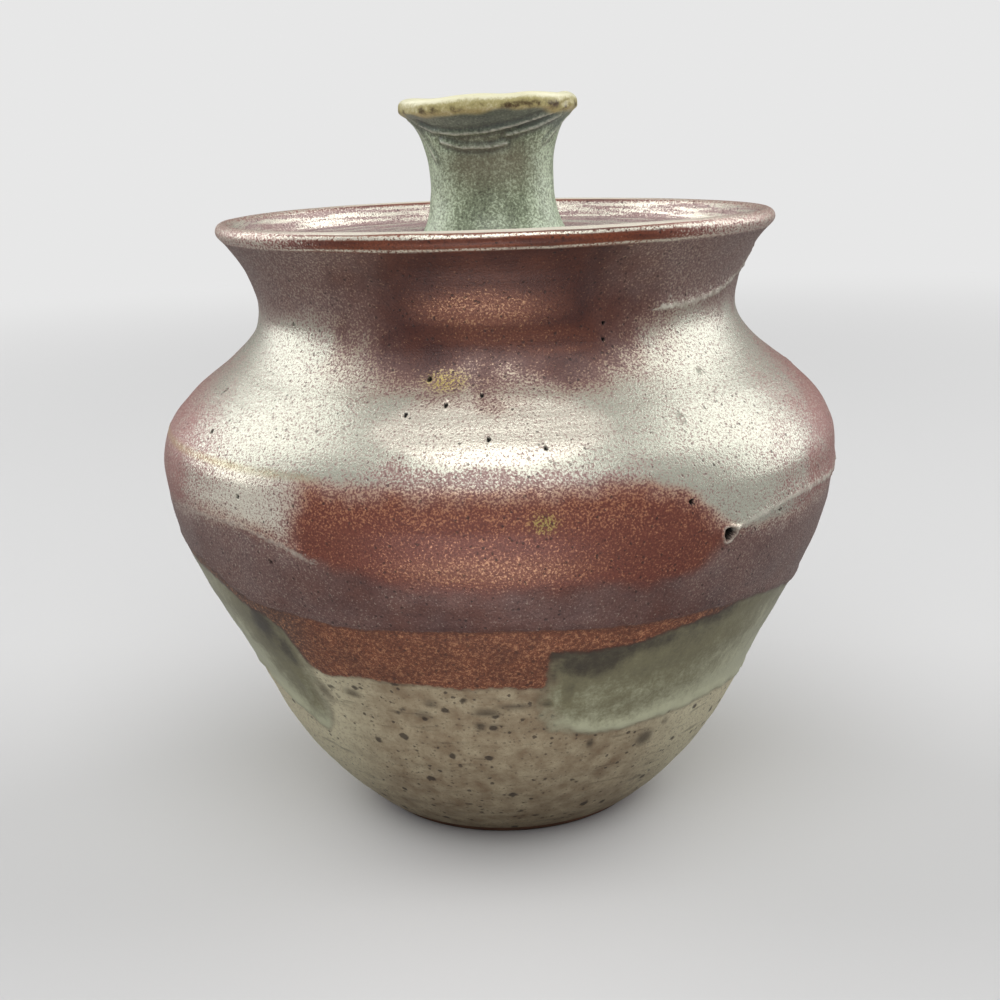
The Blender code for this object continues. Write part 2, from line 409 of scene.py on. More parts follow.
class Skin:
    """The surface of one piece, where a finish lays the shared effects."""

    def __init__(self, bench: Bench, effects: Effects) -> None:
        """Start from the piece's own coordinates.

        Args:
            bench: The bench on the material's tree.
            effects: The shared groups.
        """
        self.bench = bench
        self.effects = effects
        self.place = bench.place()

    def cloud(self, look: Cloud) -> Socket:
        """Broad uneven tone, from 0 to 1."""
        values = {"Pitch": look.pitch_mm, "Contrast": look.contrast, "Detail": look.detail}
        return self.bench.group(self.effects.cloud, Place=self.place, **values).outputs[0]

    def grain(self, look: Grain) -> Socket:
        """Grainy height, about from -1 to 1."""
        values = {"Pitch": look.pitch_mm, "Grit": look.grit}
        return self.bench.group(self.effects.peel, Place=self.place, **values).outputs[0]

    def spots(self, look: Spots) -> Socket:
        """Mask of scattered spots, from 0 to 1.

        Args:
            look: Their sizes.

        Returns:
            The mask.
        """
        values = {"Pitch": look.pitch_mm, "Share": look.share, "Size": look.size}
        values |= {"Blur": look.blur, "Ragged": look.ragged}
        return self.bench.group(self.effects.spots, Place=self.place, **values).outputs[0]

    def lines(self, look: Lines, place: Socket | None = None) -> Socket:
        """Height of drawn-out lines, about from -1 to 1.

        Args:
            look: Their sizes.
            place: What they follow, or the piece's own coordinates.

        Returns:
            The height.
        """
        values = {"Pitch": look.pitch_mm, "Level": look.level, "Upright": look.upright}
        return self.bench.group(self.effects.lines, Place=place or self.place, **values).outputs[0]

    def rings(self, look: Lines) -> Socket:
        """Height of lines that run round the piece like the marks of throwing."""
        return self.lines(look, self.bench.turned_place())

    def aside(self, start_mm: float, end_mm: float) -> Socket:
        """Step from 0 to 1 between two distances to either side of the axis."""
        across = self.bench.maths("ABSOLUTE", self.bench.across_mm(self.place))
        return self.bench.rise(across, start_mm, end_mm)


@dataclass
class Coat:
    """What a finish gives at each point of a surface, each a value or a socket."""

    colour: object
    roughness: object
    metallic: object
    relief_mm: object


def laid_over(bench: Bench, share: Socket, under: Coat, over: Coat) -> Coat:
    """One coat laid over another.

    Args:
        bench: Where the nodes go.
        share: Where the upper coat lies, from 0 to 1.
        under: The lower coat.
        over: The upper coat.

    Returns:
        What shows.
    """
    return Coat(
        bench.mix(share, under.colour, over.colour),
        bench.blend(share, under.roughness, over.roughness),
        bench.blend(share, under.metallic, over.metallic),
        bench.blend(share, under.relief_mm, over.relief_mm),
    )


@dataclass(frozen=True)
class Oxblood:
    """Satin iron-red glaze, with bright crystals on the high points of its grain."""

    shoulder: Colour = srgb(166, 134, 128)
    belly: Colour = srgb(122, 64, 52)
    wine: Colour = srgb(86, 50, 46)
    smoke: Colour = srgb(132, 108, 104)
    neck: Colour = srgb(68, 30, 27)
    lip: Colour = srgb(94, 42, 27)
    rim: Colour = srgb(138, 70, 42)
    flank: Colour = srgb(166, 114, 108)
    blush: Colour = srgb(178, 152, 150)
    ember: Colour = srgb(136, 78, 56)
    speck: Colour = srgb(40, 22, 20)
    silver: Colour = srgb(205, 206, 189)
    pewter: Colour = srgb(190, 172, 156)
    copper: Colour = srgb(210, 148, 112)
    gold: Colour = srgb(204, 184, 110)
    cream: Colour = srgb(246, 240, 222)
    bronze: Colour = srgb(190, 144, 108)
    cloud: Cloud = Cloud(8.0)
    grain: Grain = Grain(0.45)
    specks: Spots = Spots(1.3, share=0.4, size=0.2, blur=0.12, ragged=0.3)
    pores: Spots = Spots(2.2, share=0.5, size=0.11, blur=0.06, ragged=0.2)
    grain_mm: float = 0.015
    pit_mm: float = 0.04
    crystal_roughness: float = 0.27
    ground_roughness: float = 0.46
    crystal_metallic: float = 0.45
    ground_metallic: float = 0.2
    fleck_gain: float = 2.2
    fleck_offset: float = -1.4
    # Painted shade in the hollows of the grain, strong where the crystals are few.
    hollow_shade_bald: float = 0.5
    hollow_shade_covered: float = 0.15

    def coat(self, skin: Skin, ground: Socket, crystal: Socket, cover: Socket) -> Coat:
        """Speckled ground with crystals over it.

        Args:
            skin: The surface.
            ground: Colour of the glaze between the crystals.
            crystal: Colour of the crystals.
            cover: How much of the ground they cover, from 0 to 1.

        Returns:
            The coat.
        """
        bench, grain = skin.bench, skin.grain(self.grain)
        specks, pores = skin.spots(self.specks), skin.spots(self.pores)
        embers = bench.product(skin.cloud(self.cloud), bench.inverse(cover))
        # Painted shade: the hollows of the grain are darkened, most where there are few crystals.
        shaded_hollows = bench.product(
            bench.rise(grain, 0.1, -1.0), bench.blend(cover, self.hollow_shade_bald, self.hollow_shade_covered)
        )
        level = bench.total(grain, bench.maths("MULTIPLY_ADD", cover, self.fleck_gain, self.fleck_offset))
        clear = bench.maths("MULTIPLY_ADD", specks, -0.6, 1.0)
        flecks = bench.product(bench.rise(level, -0.55, 0.6), clear)
        colour = bench.layered(
            ground,
            (embers, 0.45, self.ember),
            (shaded_hollows, 1.0, self.speck),
            (specks, 0.6, self.speck),
            (flecks, 1.0, crystal),
            (pores, 0.7, self.speck),
        )
        roughness = bench.blend(flecks, self.ground_roughness, self.crystal_roughness)
        metallic = bench.blend(flecks, self.ground_metallic, self.crystal_metallic)
        pits = bench.product(bench.total(specks, pores), -self.pit_mm)
        return Coat(colour, roughness, metallic, bench.total(bench.product(grain, self.grain_mm), pits))


@dataclass(frozen=True)
class Rust:
    """Thin orange-brown coat where the iron glaze lies over the buff one."""

    ground: Colour = srgb(138, 80, 54)
    ember: Colour = srgb(228, 164, 122)
    dark: Colour = srgb(76, 40, 30)
    dull: Colour = srgb(112, 84, 70)
    cloud: Cloud = Cloud(5.0)
    grain: Grain = Grain(0.8, grit=1.0)
    specks: Spots = Spots(1.6, size=0.22, blur=0.14, ragged=0.4)
    grain_mm: float = 0.02
    roughness: float = 0.42
    metallic: float = 0.25
    dull_from_mm: float = 38.0
    dull_to_mm: float = 48.0

    def coat(self, skin: Skin) -> Coat:
        """Finely speckled rust, duller at the sides.

        Args:
            skin: The surface.

        Returns:
            The coat.
        """
        bench, grain = skin.bench, skin.grain(self.grain)
        colour = bench.layered(
            bench.mix(skin.aside(self.dull_from_mm, self.dull_to_mm), self.ground, self.dull),
            (bench.rise(grain, 0.0, 1.1), 0.75, self.ember),
            (bench.rise(grain, -0.2, -1.0), 0.55, self.dark),
            (skin.spots(self.specks), 0.7, self.dark),
            (skin.cloud(self.cloud), 0.55, self.dark),
        )
        metallic = bench.product(bench.rise(grain, 0.3, 1.0), self.metallic)
        return Coat(colour, self.roughness, metallic, bench.product(grain, self.grain_mm))


@dataclass(frozen=True)
class Celadon:
    """Grey-green glaze, pale where it pools and brown-black where it is thin."""

    pale: Colour = srgb(208, 208, 176)
    green: Colour = srgb(138, 132, 102)
    dark: Colour = srgb(74, 66, 54)
    roughness: float = 0.30
    cloud: Cloud = Cloud(5.0, contrast=1.6)
    runs: Lines = Lines(1.8, level=1.0, upright=6.0)
    grain: Grain = Grain(0.8, grit=0.6)
    grain_share: float = 0.35
    grain_mm: float = 0.008

    def coat(self, skin: Skin, pool: Socket) -> Coat:
        """Mottled grey-green coat.

        Args:
            skin: The surface.
            pool: How thick it lies: 0 thin, 0.5 even, 1 pooled.

        Returns:
            The coat.
        """
        bench, grain = skin.bench, skin.grain(self.grain)
        uneven = bench.maths("MULTIPLY_ADD", skin.cloud(self.cloud), 0.34, -0.17)
        depth = bench.total(pool, uneven, bench.product(skin.lines(self.runs), 0.09))
        depth = bench.total(depth, bench.product(grain, self.grain_share, 0.25))
        colour = bench.mix(bench.rise(depth, -0.25, 0.5), self.dark, self.green)
        colour = bench.mix(bench.rise(depth, 0.4, 1.0), colour, self.pale)
        return Coat(colour, self.roughness, 0.0, bench.product(grain, self.grain_mm))


@dataclass(frozen=True)
class Oatmeal:
    """Thin buff glaze over iron-spotted stoneware."""

    buff: Colour = srgb(206, 190, 158)
    shade: Colour = srgb(150, 126, 98)
    # Pale: painted light on the sides.
    pale: Colour = srgb(236, 228, 194)
    smoke: Colour = srgb(80, 68, 52)
    iron: Colour = srgb(48, 36, 28)
    roughness: float = 0.5
    cloud: Cloud = Cloud(4.0, contrast=2.4, detail=6.0)
    grain: Grain = Grain(0.8, grit=0.7)
    drags: Lines = Lines(1.6, level=7.0)
    small_spots: Spots = Spots(1.1, share=0.6, size=0.24, blur=0.12, ragged=0.32)
    middle_spots: Spots = Spots(2.3, share=0.5, size=0.16, blur=0.12, ragged=0.32)
    large_spots: Spots = Spots(5.0, share=0.6, size=0.15, blur=0.12, ragged=0.32)
    grain_mm: float = 0.022
    drag_mm: float = 0.02
    pit_mm: float = 0.08
    # Painted light: the buff turns paler towards both sides.
    painted_light_from_mm: float = 22.0
    painted_light_to_mm: float = 42.0

    def coat(self, skin: Skin, smoke: Socket) -> Coat:
        """Speckled buff coat with large and small iron spots.

        Args:
            skin: The surface.
            smoke: Where the clay is smudged, from 0 to 1.

        Returns:
            The coat.
        """
        bench, grain, drags = skin.bench, skin.grain(self.grain), skin.lines(self.drags)
        small, middle = skin.spots(self.small_spots), skin.spots(self.middle_spots)
        large = skin.spots(self.large_spots)
        smudge = bench.total(bench.product(bench.rise(drags, 0.35, 1.1), 0.45), smoke)
        colour = bench.layered(
            bench.mix(skin.cloud(self.cloud), self.shade, self.buff),
            # Paler towards both sides: painted light.
            (skin.aside(self.painted_light_from_mm, self.painted_light_to_mm), 0.85, self.pale),
            (bench.rise(grain, 0.1, -0.9), 0.4, self.shade),
            (bench.clamped(smudge), 1.0, self.smoke),
            (small, 0.4, self.iron),
            (middle, 0.7, self.iron),
            (large, 0.8, self.iron),
        )
        pits = bench.product(bench.total(middle, large), -self.pit_mm)
        relief = bench.total(bench.product(grain, self.grain_mm), bench.product(drags, self.drag_mm), pits)
        return Coat(colour, self.roughness, 0.0, relief)


@dataclass(frozen=True)
class BareClay:
    """Unglazed stoneware that fired brick brown."""

    light: Colour = srgb(150, 104, 74)
    dark: Colour = srgb(106, 66, 46)
    roughness: float = 0.8
    cloud: Cloud = Cloud(5.0)
    grit: Spots = Spots(1.1, share=0.5, size=0.22)
    grain: Grain = Grain(0.7, grit=0.8)
    grain_mm: float = 0.03

    def coat(self, skin: Skin) -> Coat:
        """Gritty matt clay.

        Args:
            skin: The surface.

        Returns:
            The coat.
        """
        bench = skin.bench
        colour = bench.mix(skin.cloud(self.cloud), self.dark, self.light)
        colour = bench.layered(colour, (skin.spots(self.grit), 0.5, self.dark))
        return Coat(colour, self.roughness, 0.0, bench.product(skin.grain(self.grain), self.grain_mm))


@dataclass(frozen=True)
class BrokenGlaze:
    """What a burst bubble and a crease show: a hole painted near black as its shade, and a pale crust that
    is partly a painted highlight.
    """

    # Near black for the inside of a hole: painted shade.
    hole: Colour = srgb(14, 8, 7)
    # Pale crust, partly a painted highlight.
    pale: Colour = srgb(226, 220, 204)
    roughness: float = 0.32
    metallic: float = 0.3
    relief_mm: float = 0.12

    def inside(self) -> Coat:
        """The inside of a hole, painted near black as its shade."""
        return Coat(self.hole, 1.0, 0.0, 0.0)

    def crust(self) -> Coat:
        """The thin pale border that stands up, its paleness partly a painted highlight."""
        return Coat(self.pale, self.roughness, self.metallic, self.relief_mm)


def fired(name: str, bench: Bench, coat: Coat) -> None:
    """Join a coat to the material's own shader.

    Args:
        name: Said in the log.
        bench: The bench on the material's tree.
        coat: What to show.
    """
    bump = bench.add("ShaderNodeBump", {"Strength": 1.0, "Distance": MM, "Height": coat.relief_mm})
    values = {"Base Color": coat.colour, "Roughness": coat.roughness, "Metallic": coat.metallic}
    values |= {"IOR": GLAZE_IOR, "Specular IOR Level": GLAZE_SPECULAR, "Normal": bump.outputs[0]}
    shader = bench.add("ShaderNodeBsdfPrincipled", values)
    output = bench.add("ShaderNodeOutputMaterial", {"Surface": shader.outputs[0]})
    output.is_active_output = True
    LOG.info("finish %s: %d nodes", name, len(bench.tree.nodes))


def new_material(name: str) -> tuple[bpy.types.Material, Bench]:
    """Make an empty material with nodes.

    Args:
        name: Its name.

    Returns:
        The material, and the bench on its tree.
    """
    material = bpy.data.materials.new(name)
    material.use_nodes = True
    material.node_tree.nodes.clear()
    return material, Bench(material.node_tree)


class BodyName(Enum):
    """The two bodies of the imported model: the jar stands still and the lid lifts."""

    JAR = "jar"
    LID = "lid"


class Outline:
    """Outline of a turned solid: (radius, height) points in mm, from its higher end.

    Points of the mesh that are closer than touch, in metres, are one point. A bend below
    corner_deg between chords of like length is part of a curve, and the rest are corners.
    """

    touch = 0.000002
    corner_deg = 40.0
    long_ratio = 3.0
    dense_mm = 0.1
    soften_mm = 0.35
    bend_gain = 2.2
    bend_limit = 1.2

    def __init__(self, points: Field) -> None:
        """Keep the points and the distance run along them.

        Args:
            points: Radius and height of each point, in mm.
        """
        self.points = points
        steps = np.linalg.norm(np.diff(points, axis=0), axis=1)
        self.run = np.concatenate([[0.0], np.cumsum(steps)])

    @classmethod
    def of_node(cls, node: str) -> "Outline":
        """Outline of a CAD node, read where its mesh crosses the half plane at +X.

        Args:
            node: The node's name.

        Returns:
            Its outline, smooth along curves and a little soft at corners.
        """
        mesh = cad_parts[node].data
        places = {}
        for vertex in mesh.vertices:
            if abs(vertex.co.y) < cls.touch and vertex.co.x > -cls.touch:
                places[vertex.index] = (round(vertex.co.x / cls.touch), round(vertex.co.z / cls.touch))
        beside: dict[tuple, set] = {}
        for edge in mesh.edges:
            first, last = (places.get(index) for index in edge.vertices)
            if first is not None and last is not None and first != last:
                beside.setdefault(first, set()).add(last)
                beside.setdefault(last, set()).add(first)
        here = max((place for place, others in beside.items() if len(others) == 1), key=lambda p: p[1])
        chain, before = [here], None
        while True:
            onward = [place for place in beside[here] if place != before]
            if not onward:
                break
            before, here = here, onward[0]
            chain.append(here)
        return cls(np.array(chain, float) * cls.touch / MM).smoothed()

    def smoothed(self) -> "Outline":
        """The outline as a smooth dense line, with its corners softened.

        Returns:
            A new outline.
        """
        points = self.points
        chords = np.diff(points, axis=0)
        lengths = np.linalg.norm(chords, axis=1)
        ways = chords / lengths[:, None]
        starts, ends = ways.copy(), ways.copy()
        for index in range(1, len(ways)):
            short, long = sorted((lengths[index - 1], lengths[index]))
            turn = math.degrees(math.acos(np.clip(ways[index - 1] @ ways[index], -1.0, 1.0)))
            if turn < self.corner_deg and long < self.long_ratio * short:
                shared = ways[index - 1] * lengths[index] + ways[index] * lengths[index - 1]
                ends[index - 1] = starts[index] = shared / np.linalg.norm(shared)
        dense = []
        for index, length in enumerate(lengths):
            t = np.linspace(0.0, 1.0, max(2, int(length / self.dense_mm) + 1))[:-1, None]
            dense.append(
                (2 * t**3 - 3 * t**2 + 1) * points[index]
                + (t**3 - 2 * t**2 + t) * length * starts[index]
                + (3 * t**2 - 2 * t**3) * points[index + 1]
                + (t**3 - t**2) * length * ends[index]
            )
        line = Outline(np.vstack(dense + [points[-1:]]))
        even = line.at(np.arange(0.0, line.run[-1], self.dense_mm))
        return Outline(self.softened(even))

    def softened(self, even: Field) -> Field:
        """Round the corners of the line, mirrored at the axis.

        Args:
            even: Evenly spaced points.

        Returns:
            As many points, with both ends on the axis.
        """
        reach = int(3 * self.soften_mm / self.dense_mm)
        steps = np.arange(-reach, reach + 1) * self.dense_mm
        weights = np.exp(-0.5 * (steps / self.soften_mm) ** 2)
        weights /= weights.sum()
        mirror = np.array([-1.0, 1.0])
        padded = np.vstack([even[reach:0:-1] * mirror, even, even[-2 : -reach - 2 : -1] * mirror])
        soft = np.stack([np.convolve(padded[:, axis], weights, "valid") for axis in (0, 1)], axis=1)
        soft[0, 0] = soft[-1, 0] = 0.0
        return soft

    def at(self, run: Field) -> Field:
        """Points at given distances along the outline."""
        return np.stack([np.interp(run, self.run, self.points[:, axis]) for axis in (0, 1)], axis=1)

    def crest(self) -> float:
        """Distance along the outline to its highest point."""
        return float(self.run[self.points[:, 1].argmax()])

    def rows(self, count: int, density: Field) -> "Outline":
        """The outline as rows of vertices, closer together at bends.

        Args:
            count: How many rows.
            density: How close together they are wanted at each point.

        Returns:
            A new outline with that many points.
        """
        turn = np.abs(np.gradient(np.unwrap(np.arctan2(*np.gradient(self.points, axis=0).T[::-1]))))
        bend = np.minimum(turn / self.dense_mm, self.bend_limit)
        weight = density + self.bend_gain * bend
        filled = np.concatenate([[0.0], np.cumsum((weight[1:] + weight[:-1]) / 2 * np.diff(self.run))])
        run = np.interp(np.linspace(0.0, filled[-1], count), filled, self.run)
        picked = Outline(self.at(run))
        picked.points[0, 0] = picked.points[-1, 0] = 0.0
        picked.run = run
        return picked


class Wheel:
    """Geometry node tree that turns an outline into a closed, even mesh.

    The outline comes in as a row of points: x is the radius, z the height, and y carries
    the distance along the outline, which the tree keeps as an attribute. The columns stand
    closer together at the front, where the photograph looks. Weld is in metres.
    """

    along = "along_mm"
    weld = 0.0000005
    front_crowding = 0.35
    front_azimuth_deg = 12.0

    def __init__(self) -> None:
        """Build the tree with its named inputs."""
        tree = bpy.data.node_groups.new("turned_on_the_wheel", "GeometryNodeTree")
        self.inputs = {}
        wanted = {"Outline": "Geometry", "Columns": "Int", "Front Crowding": "Float"}
        wanted |= {"Front Azimuth": "Float", "Finish": "Material"}
        for name, kind in wanted.items():
            kind = "NodeSocket" + kind
            socket = tree.interface.new_socket(name=name, in_out="INPUT", socket_type=kind)
            self.inputs[name] = socket.identifier
        tree.interface.new_socket(name="Piece", in_out="OUTPUT", socket_type="NodeSocketGeometry")
        self.tree = tree
        self.fill(Bench(tree))

    def fill(self, bench: Bench) -> None:
        """Add the nodes.

        Args:
            bench: The bench on the tree.
        """
        given = bench.add("NodeGroupInput").outputs
        size = bench.add("GeometryNodeAttributeDomainSize", {"Geometry": given["Outline"]}).outputs[0]
        grid = bench.add("GeometryNodeMeshGrid", {"Vertices X": size})
        closed = bench.maths("ADD", given["Columns"], 1.0)
        bench.feed(grid.inputs["Vertices Y"], closed)
        index = bench.add("GeometryNodeInputIndex").outputs[0]
        row = bench.maths("FLOOR", bench.maths("DIVIDE", index, closed))
        column = bench.maths("SUBTRACT", index, bench.product(row, closed))
        picked = bench.add("GeometryNodeSampleIndex", data_type="FLOAT_VECTOR", domain="POINT")
        bench.feed(picked.inputs["Geometry"], given["Outline"])
        bench.feed(picked.inputs["Value"], bench.add("GeometryNodeInputPosition").outputs[0])
        bench.feed(picked.inputs["Index"], row)
        split = bench.add("ShaderNodeSeparateXYZ", {0: picked.outputs[0]}).outputs
        turn = bench.product(bench.maths("DIVIDE", column, given["Columns"]), math.tau)
        lean = bench.maths("SINE", bench.maths("SUBTRACT", turn, given["Front Azimuth"]))
        azimuth = bench.maths("SUBTRACT", turn, bench.product(lean, given["Front Crowding"]))
        right = bench.product(split[0], bench.maths("SINE", azimuth))
        back = bench.product(split[0], bench.maths("COSINE", azimuth), -1.0)
        spot = bench.add("ShaderNodeCombineXYZ", {0: right, 1: back, 2: split[2]}).outputs[0]
        turned = bench.add("GeometryNodeSetPosition", {"Geometry": grid.outputs[0], "Position": spot})
        kept = bench.add("GeometryNodeStoreNamedAttribute", data_type="FLOAT", domain="POINT")
        bench.feed(kept.inputs["Geometry"], turned.outputs[0])
        bench.feed(kept.inputs["Name"], self.along)
        bench.feed(kept.inputs["Value"], bench.product(split[1], 1.0 / MM))
        values = {"Geometry": kept.outputs[0], "Distance": self.weld}
        welded = bench.add("GeometryNodeMergeByDistance", values)
        smooth = bench.add("GeometryNodeSetShadeSmooth", {0: welded.outputs[0]})
        whole = bench.add("GeometryNodeRealizeInstances", {0: smooth.outputs[0]})
        values = {"Geometry": whole.outputs[0], "Material": given["Finish"]}
        done = bench.add("GeometryNodeSetMaterial", values)
        bench.add("NodeGroupOutput", {0: done.outputs[0]})

    def turn(
        self, name: str, outline: Outline, columns: int, material: bpy.types.Material
    ) -> bpy.types.Object:
        """Turn one piece.

        Args:
            name: The piece's name.
            outline: Its rows.
            columns: Steps round the axis.
            material: Its finish.

        Returns:
            The piece, as a plain mesh without modifiers.
        """
        row = [(r * MM, run * MM, z * MM) for (r, z), run in zip(outline.points, outline.run)]
        mesh = bpy.data.meshes.new(name)
        mesh.from_pydata(row, [], [])
        piece = bpy.data.objects.new(name, mesh)
        bpy.context.scene.collection.objects.link(piece)
        values = {
            "Columns": columns,
            "Front Crowding": self.front_crowding,
            "Front Azimuth": math.radians(self.front_azimuth_deg),
            "Finish": material,
        }
        return as_plain_mesh(piece, self.tree, self.inputs, values)


def as_plain_mesh(
    piece: bpy.types.Object, tree: bpy.types.NodeTree, names: dict, values: dict
) -> bpy.types.Object:
    """Run a geometry node tree on a piece and keep the result as its mesh.

    Args:
        piece: The object that the tree starts from.
        tree: The geometry node tree.
        names: Each input's identifier by its name.
        values: What each input is given, by name.

    Returns:
        The piece.
    """
    modifier = piece.modifiers.new("making", "NODES")
    modifier.node_group = tree
    for name, value in values.items():
        modifier[names[name]] = value
    graph = bpy.context.evaluated_depsgraph_get()
    made = bpy.data.meshes.new_from_object(piece.evaluated_get(graph))
    piece.modifiers.remove(modifier)
    spare = piece.data
    piece.data = made
    bpy.data.meshes.remove(spare)
    made.name = piece.name
    return piece


class Wander:
    """Smooth random waves over a turned wall, closed round the axis, from about -1 to 1."""

    def __init__(
        self, seed: int, pitch_mm: float, radius_mm: float, level: float = 1.0, count: int = 36
    ) -> None:
        """Draw the waves.

        Args:
            seed: Fixes the draw.
            pitch_mm: About how far apart the waves lie.
            radius_mm: Radius at which that holds.
            level: Above 1 draws the waves out round the wall, below 1 up the wall.
            count: How many waves are summed.
        """
        draw = np.random.default_rng(seed)
        waves = math.tau / (pitch_mm * draw.uniform(0.7, 1.8, count))
        heading = draw.uniform(0.0, math.tau, count)
        self.turns = np.round(waves * np.cos(heading) * radius_mm / level)
        self.climbs = waves * np.sin(heading)
        self.phases = draw.uniform(0.0, math.tau, count)

    def __call__(self, azimuth: Field, height_mm: Field) -> Field:
        """Sum the waves.

        Args:
            azimuth: Where round the axis, in radians.
            height_mm: Where up the wall.

        Returns:
            The value at each place.
        """
        value = np.zeros_like(azimuth)
        for turns, climb, phase in zip(self.turns, self.climbs, self.phases):
            value += np.cos(turns * azimuth + climb * height_mm + phase)
        return value / math.sqrt(len(self.phases))


def stroke_distance(points: Field, wall: "Wall") -> Field:
    """Distance in mm from each vertex to a line drawn on the wall.

    Args:
        points: The line, as azimuths in degrees and heights in mm.
        wall: The vertices.

    Returns:
        The distances.
    """
    per_deg = math.radians(1.0) * wall.radius
    nearest = np.full(wall.radius.shape, np.inf)
    for start, end in zip(points, points[1:]):
        along = (end[0] - start[0]) * per_deg
        up = end[1] - start[1]
        over = (wall.azimuth_deg - start[0]) * per_deg
        rise = wall.height - start[1]
        share = np.clip((over * along + rise * up) / (along**2 + up**2 + 1e-9), 0.0, 1.0)
        nearest = np.minimum(nearest, np.hypot(over - share * along, rise - share * up))
    return nearest


class GlazeLine:
    """Lower edge of a coat: its height in mm by azimuth in degrees, closed round the jar."""

    def __init__(self, points: Line) -> None:
        """Repeat the line a turn to each side, so that it has no ends.

        Args:
            points: The line.
        """
        line = np.array(points, float)
        turn = np.array([FULL_TURN_DEG, 0.0])
        self.line = np.vstack([line - turn, line, line + turn])

    def level(self, wall: "Wall") -> Field:
        """Height of the line at each vertex's azimuth."""
        return np.interp(wall.azimuth_deg, self.line[:, 0], self.line[:, 1])

    def above(self, wall: "Wall") -> Field:
        """Distance from the line in mm, above zero over it, below zero under it."""
        distance = stroke_distance(self.line, wall)
        return np.where(wall.height > self.level(wall), distance, -distance)


def smooth_step(value: Field, start: float, end: float) -> Field:
    """Smooth step from 0 at start to 1 at end."""
    share = np.clip((value - start) / (end - start), 0.0, 1.0)
    return share * share * (3.0 - 2.0 * share)


def bell(value: Field, width: float) -> Field:
    """Bell of height 1 at zero, fading over a width."""
    return np.exp(-0.5 * (value / width) ** 2)


class Wall:
    """The vertices of a turned piece, by azimuth, height and distance along its outline."""

    def __init__(self, piece: bpy.types.Object) -> None:
        """Read the piece's mesh.

        Args:
            piece: A plain mesh that the wheel turned.
        """
        self.mesh = piece.data
        count = len(self.mesh.vertices)
        flat = np.zeros(count * 3)
        self.mesh.vertices.foreach_get("co", flat)
        self.places = flat.reshape(-1, 3) / MM
        normals = np.zeros(count * 3, np.float32)
        self.mesh.vertex_normals.foreach_get("vector", normals)
        self.normals = normals.reshape(-1, 3).astype(float)
        self.along = np.zeros(count, np.float32)
        self.mesh.attributes[Wheel.along].data.foreach_get("value", self.along)
        self.azimuth = np.arctan2(self.places[:, 0], -self.places[:, 1])
        self.azimuth_deg = np.degrees(self.azimuth)
        self.radius = np.hypot(self.places[:, 0], self.places[:, 1])
        self.height = self.places[:, 2].copy()

    def off_mark(self, mark: Vector | tuple) -> tuple[Field, Field]:
        """How far each vertex lies round the wall and up it from a mark, in mm."""
        return (self.azimuth_deg - mark[0]) * math.radians(1.0) * self.radius, self.height - mark[1]

    def waves(self, seed: int, pitch_mm: float, radius_mm: float, **drawn: float) -> Field:
        """Random waves over the wall, from about -1 to 1."""
        return Wander(seed, pitch_mm, radius_mm, **drawn)(self.azimuth, self.height)

    def swell(self, amount_mm: Field) -> None:
        """Move each vertex out of the surface."""
        self.places += self.normals * amount_mm[:, None]

    def shift(self, axis: int, amount_mm: Field) -> None:
        """Move each vertex along one axis."""
        self.places[:, axis] += amount_mm

    def keep(self, name: str, values: Field) -> None:
        """Store a number at each vertex for the finish to read."""
        attribute = self.mesh.attributes.get(name) or self.mesh.attributes.new(name, "FLOAT", "POINT")
        attribute.data.foreach_set("value", values.astype(np.float32))

    def write(self) -> None:
        """Put the moved vertices back into the mesh."""
        self.mesh.vertices.foreach_set("co", (self.places * MM).ravel())
        self.mesh.update()


def refined_near(piece: bpy.types.Object, spots: list[tuple[Vector, float]], cuts: int) -> None:
    """Divide the faces of a piece more finely round some spots.

    Args:
        piece: A plain mesh.
        spots: Places in metres, each with its reach in mm.
        cuts: Cuts in each edge within reach.
    """
    work = bmesh.new()
    work.from_mesh(piece.data)
    places = np.array([vertex.co for vertex in work.verts])
    near = np.zeros(len(places), bool)
    for place, reach_mm in spots:
        near |= np.linalg.norm(places - np.array(place), axis=1) < reach_mm * MM
    edges = [edge for edge in work.edges if all(near[vertex.index] for vertex in edge.verts)]
    bmesh.ops.subdivide_edges(work, edges=edges, cuts=cuts, use_grid_fill=True)
    work.to_mesh(piece.data)
    work.free()


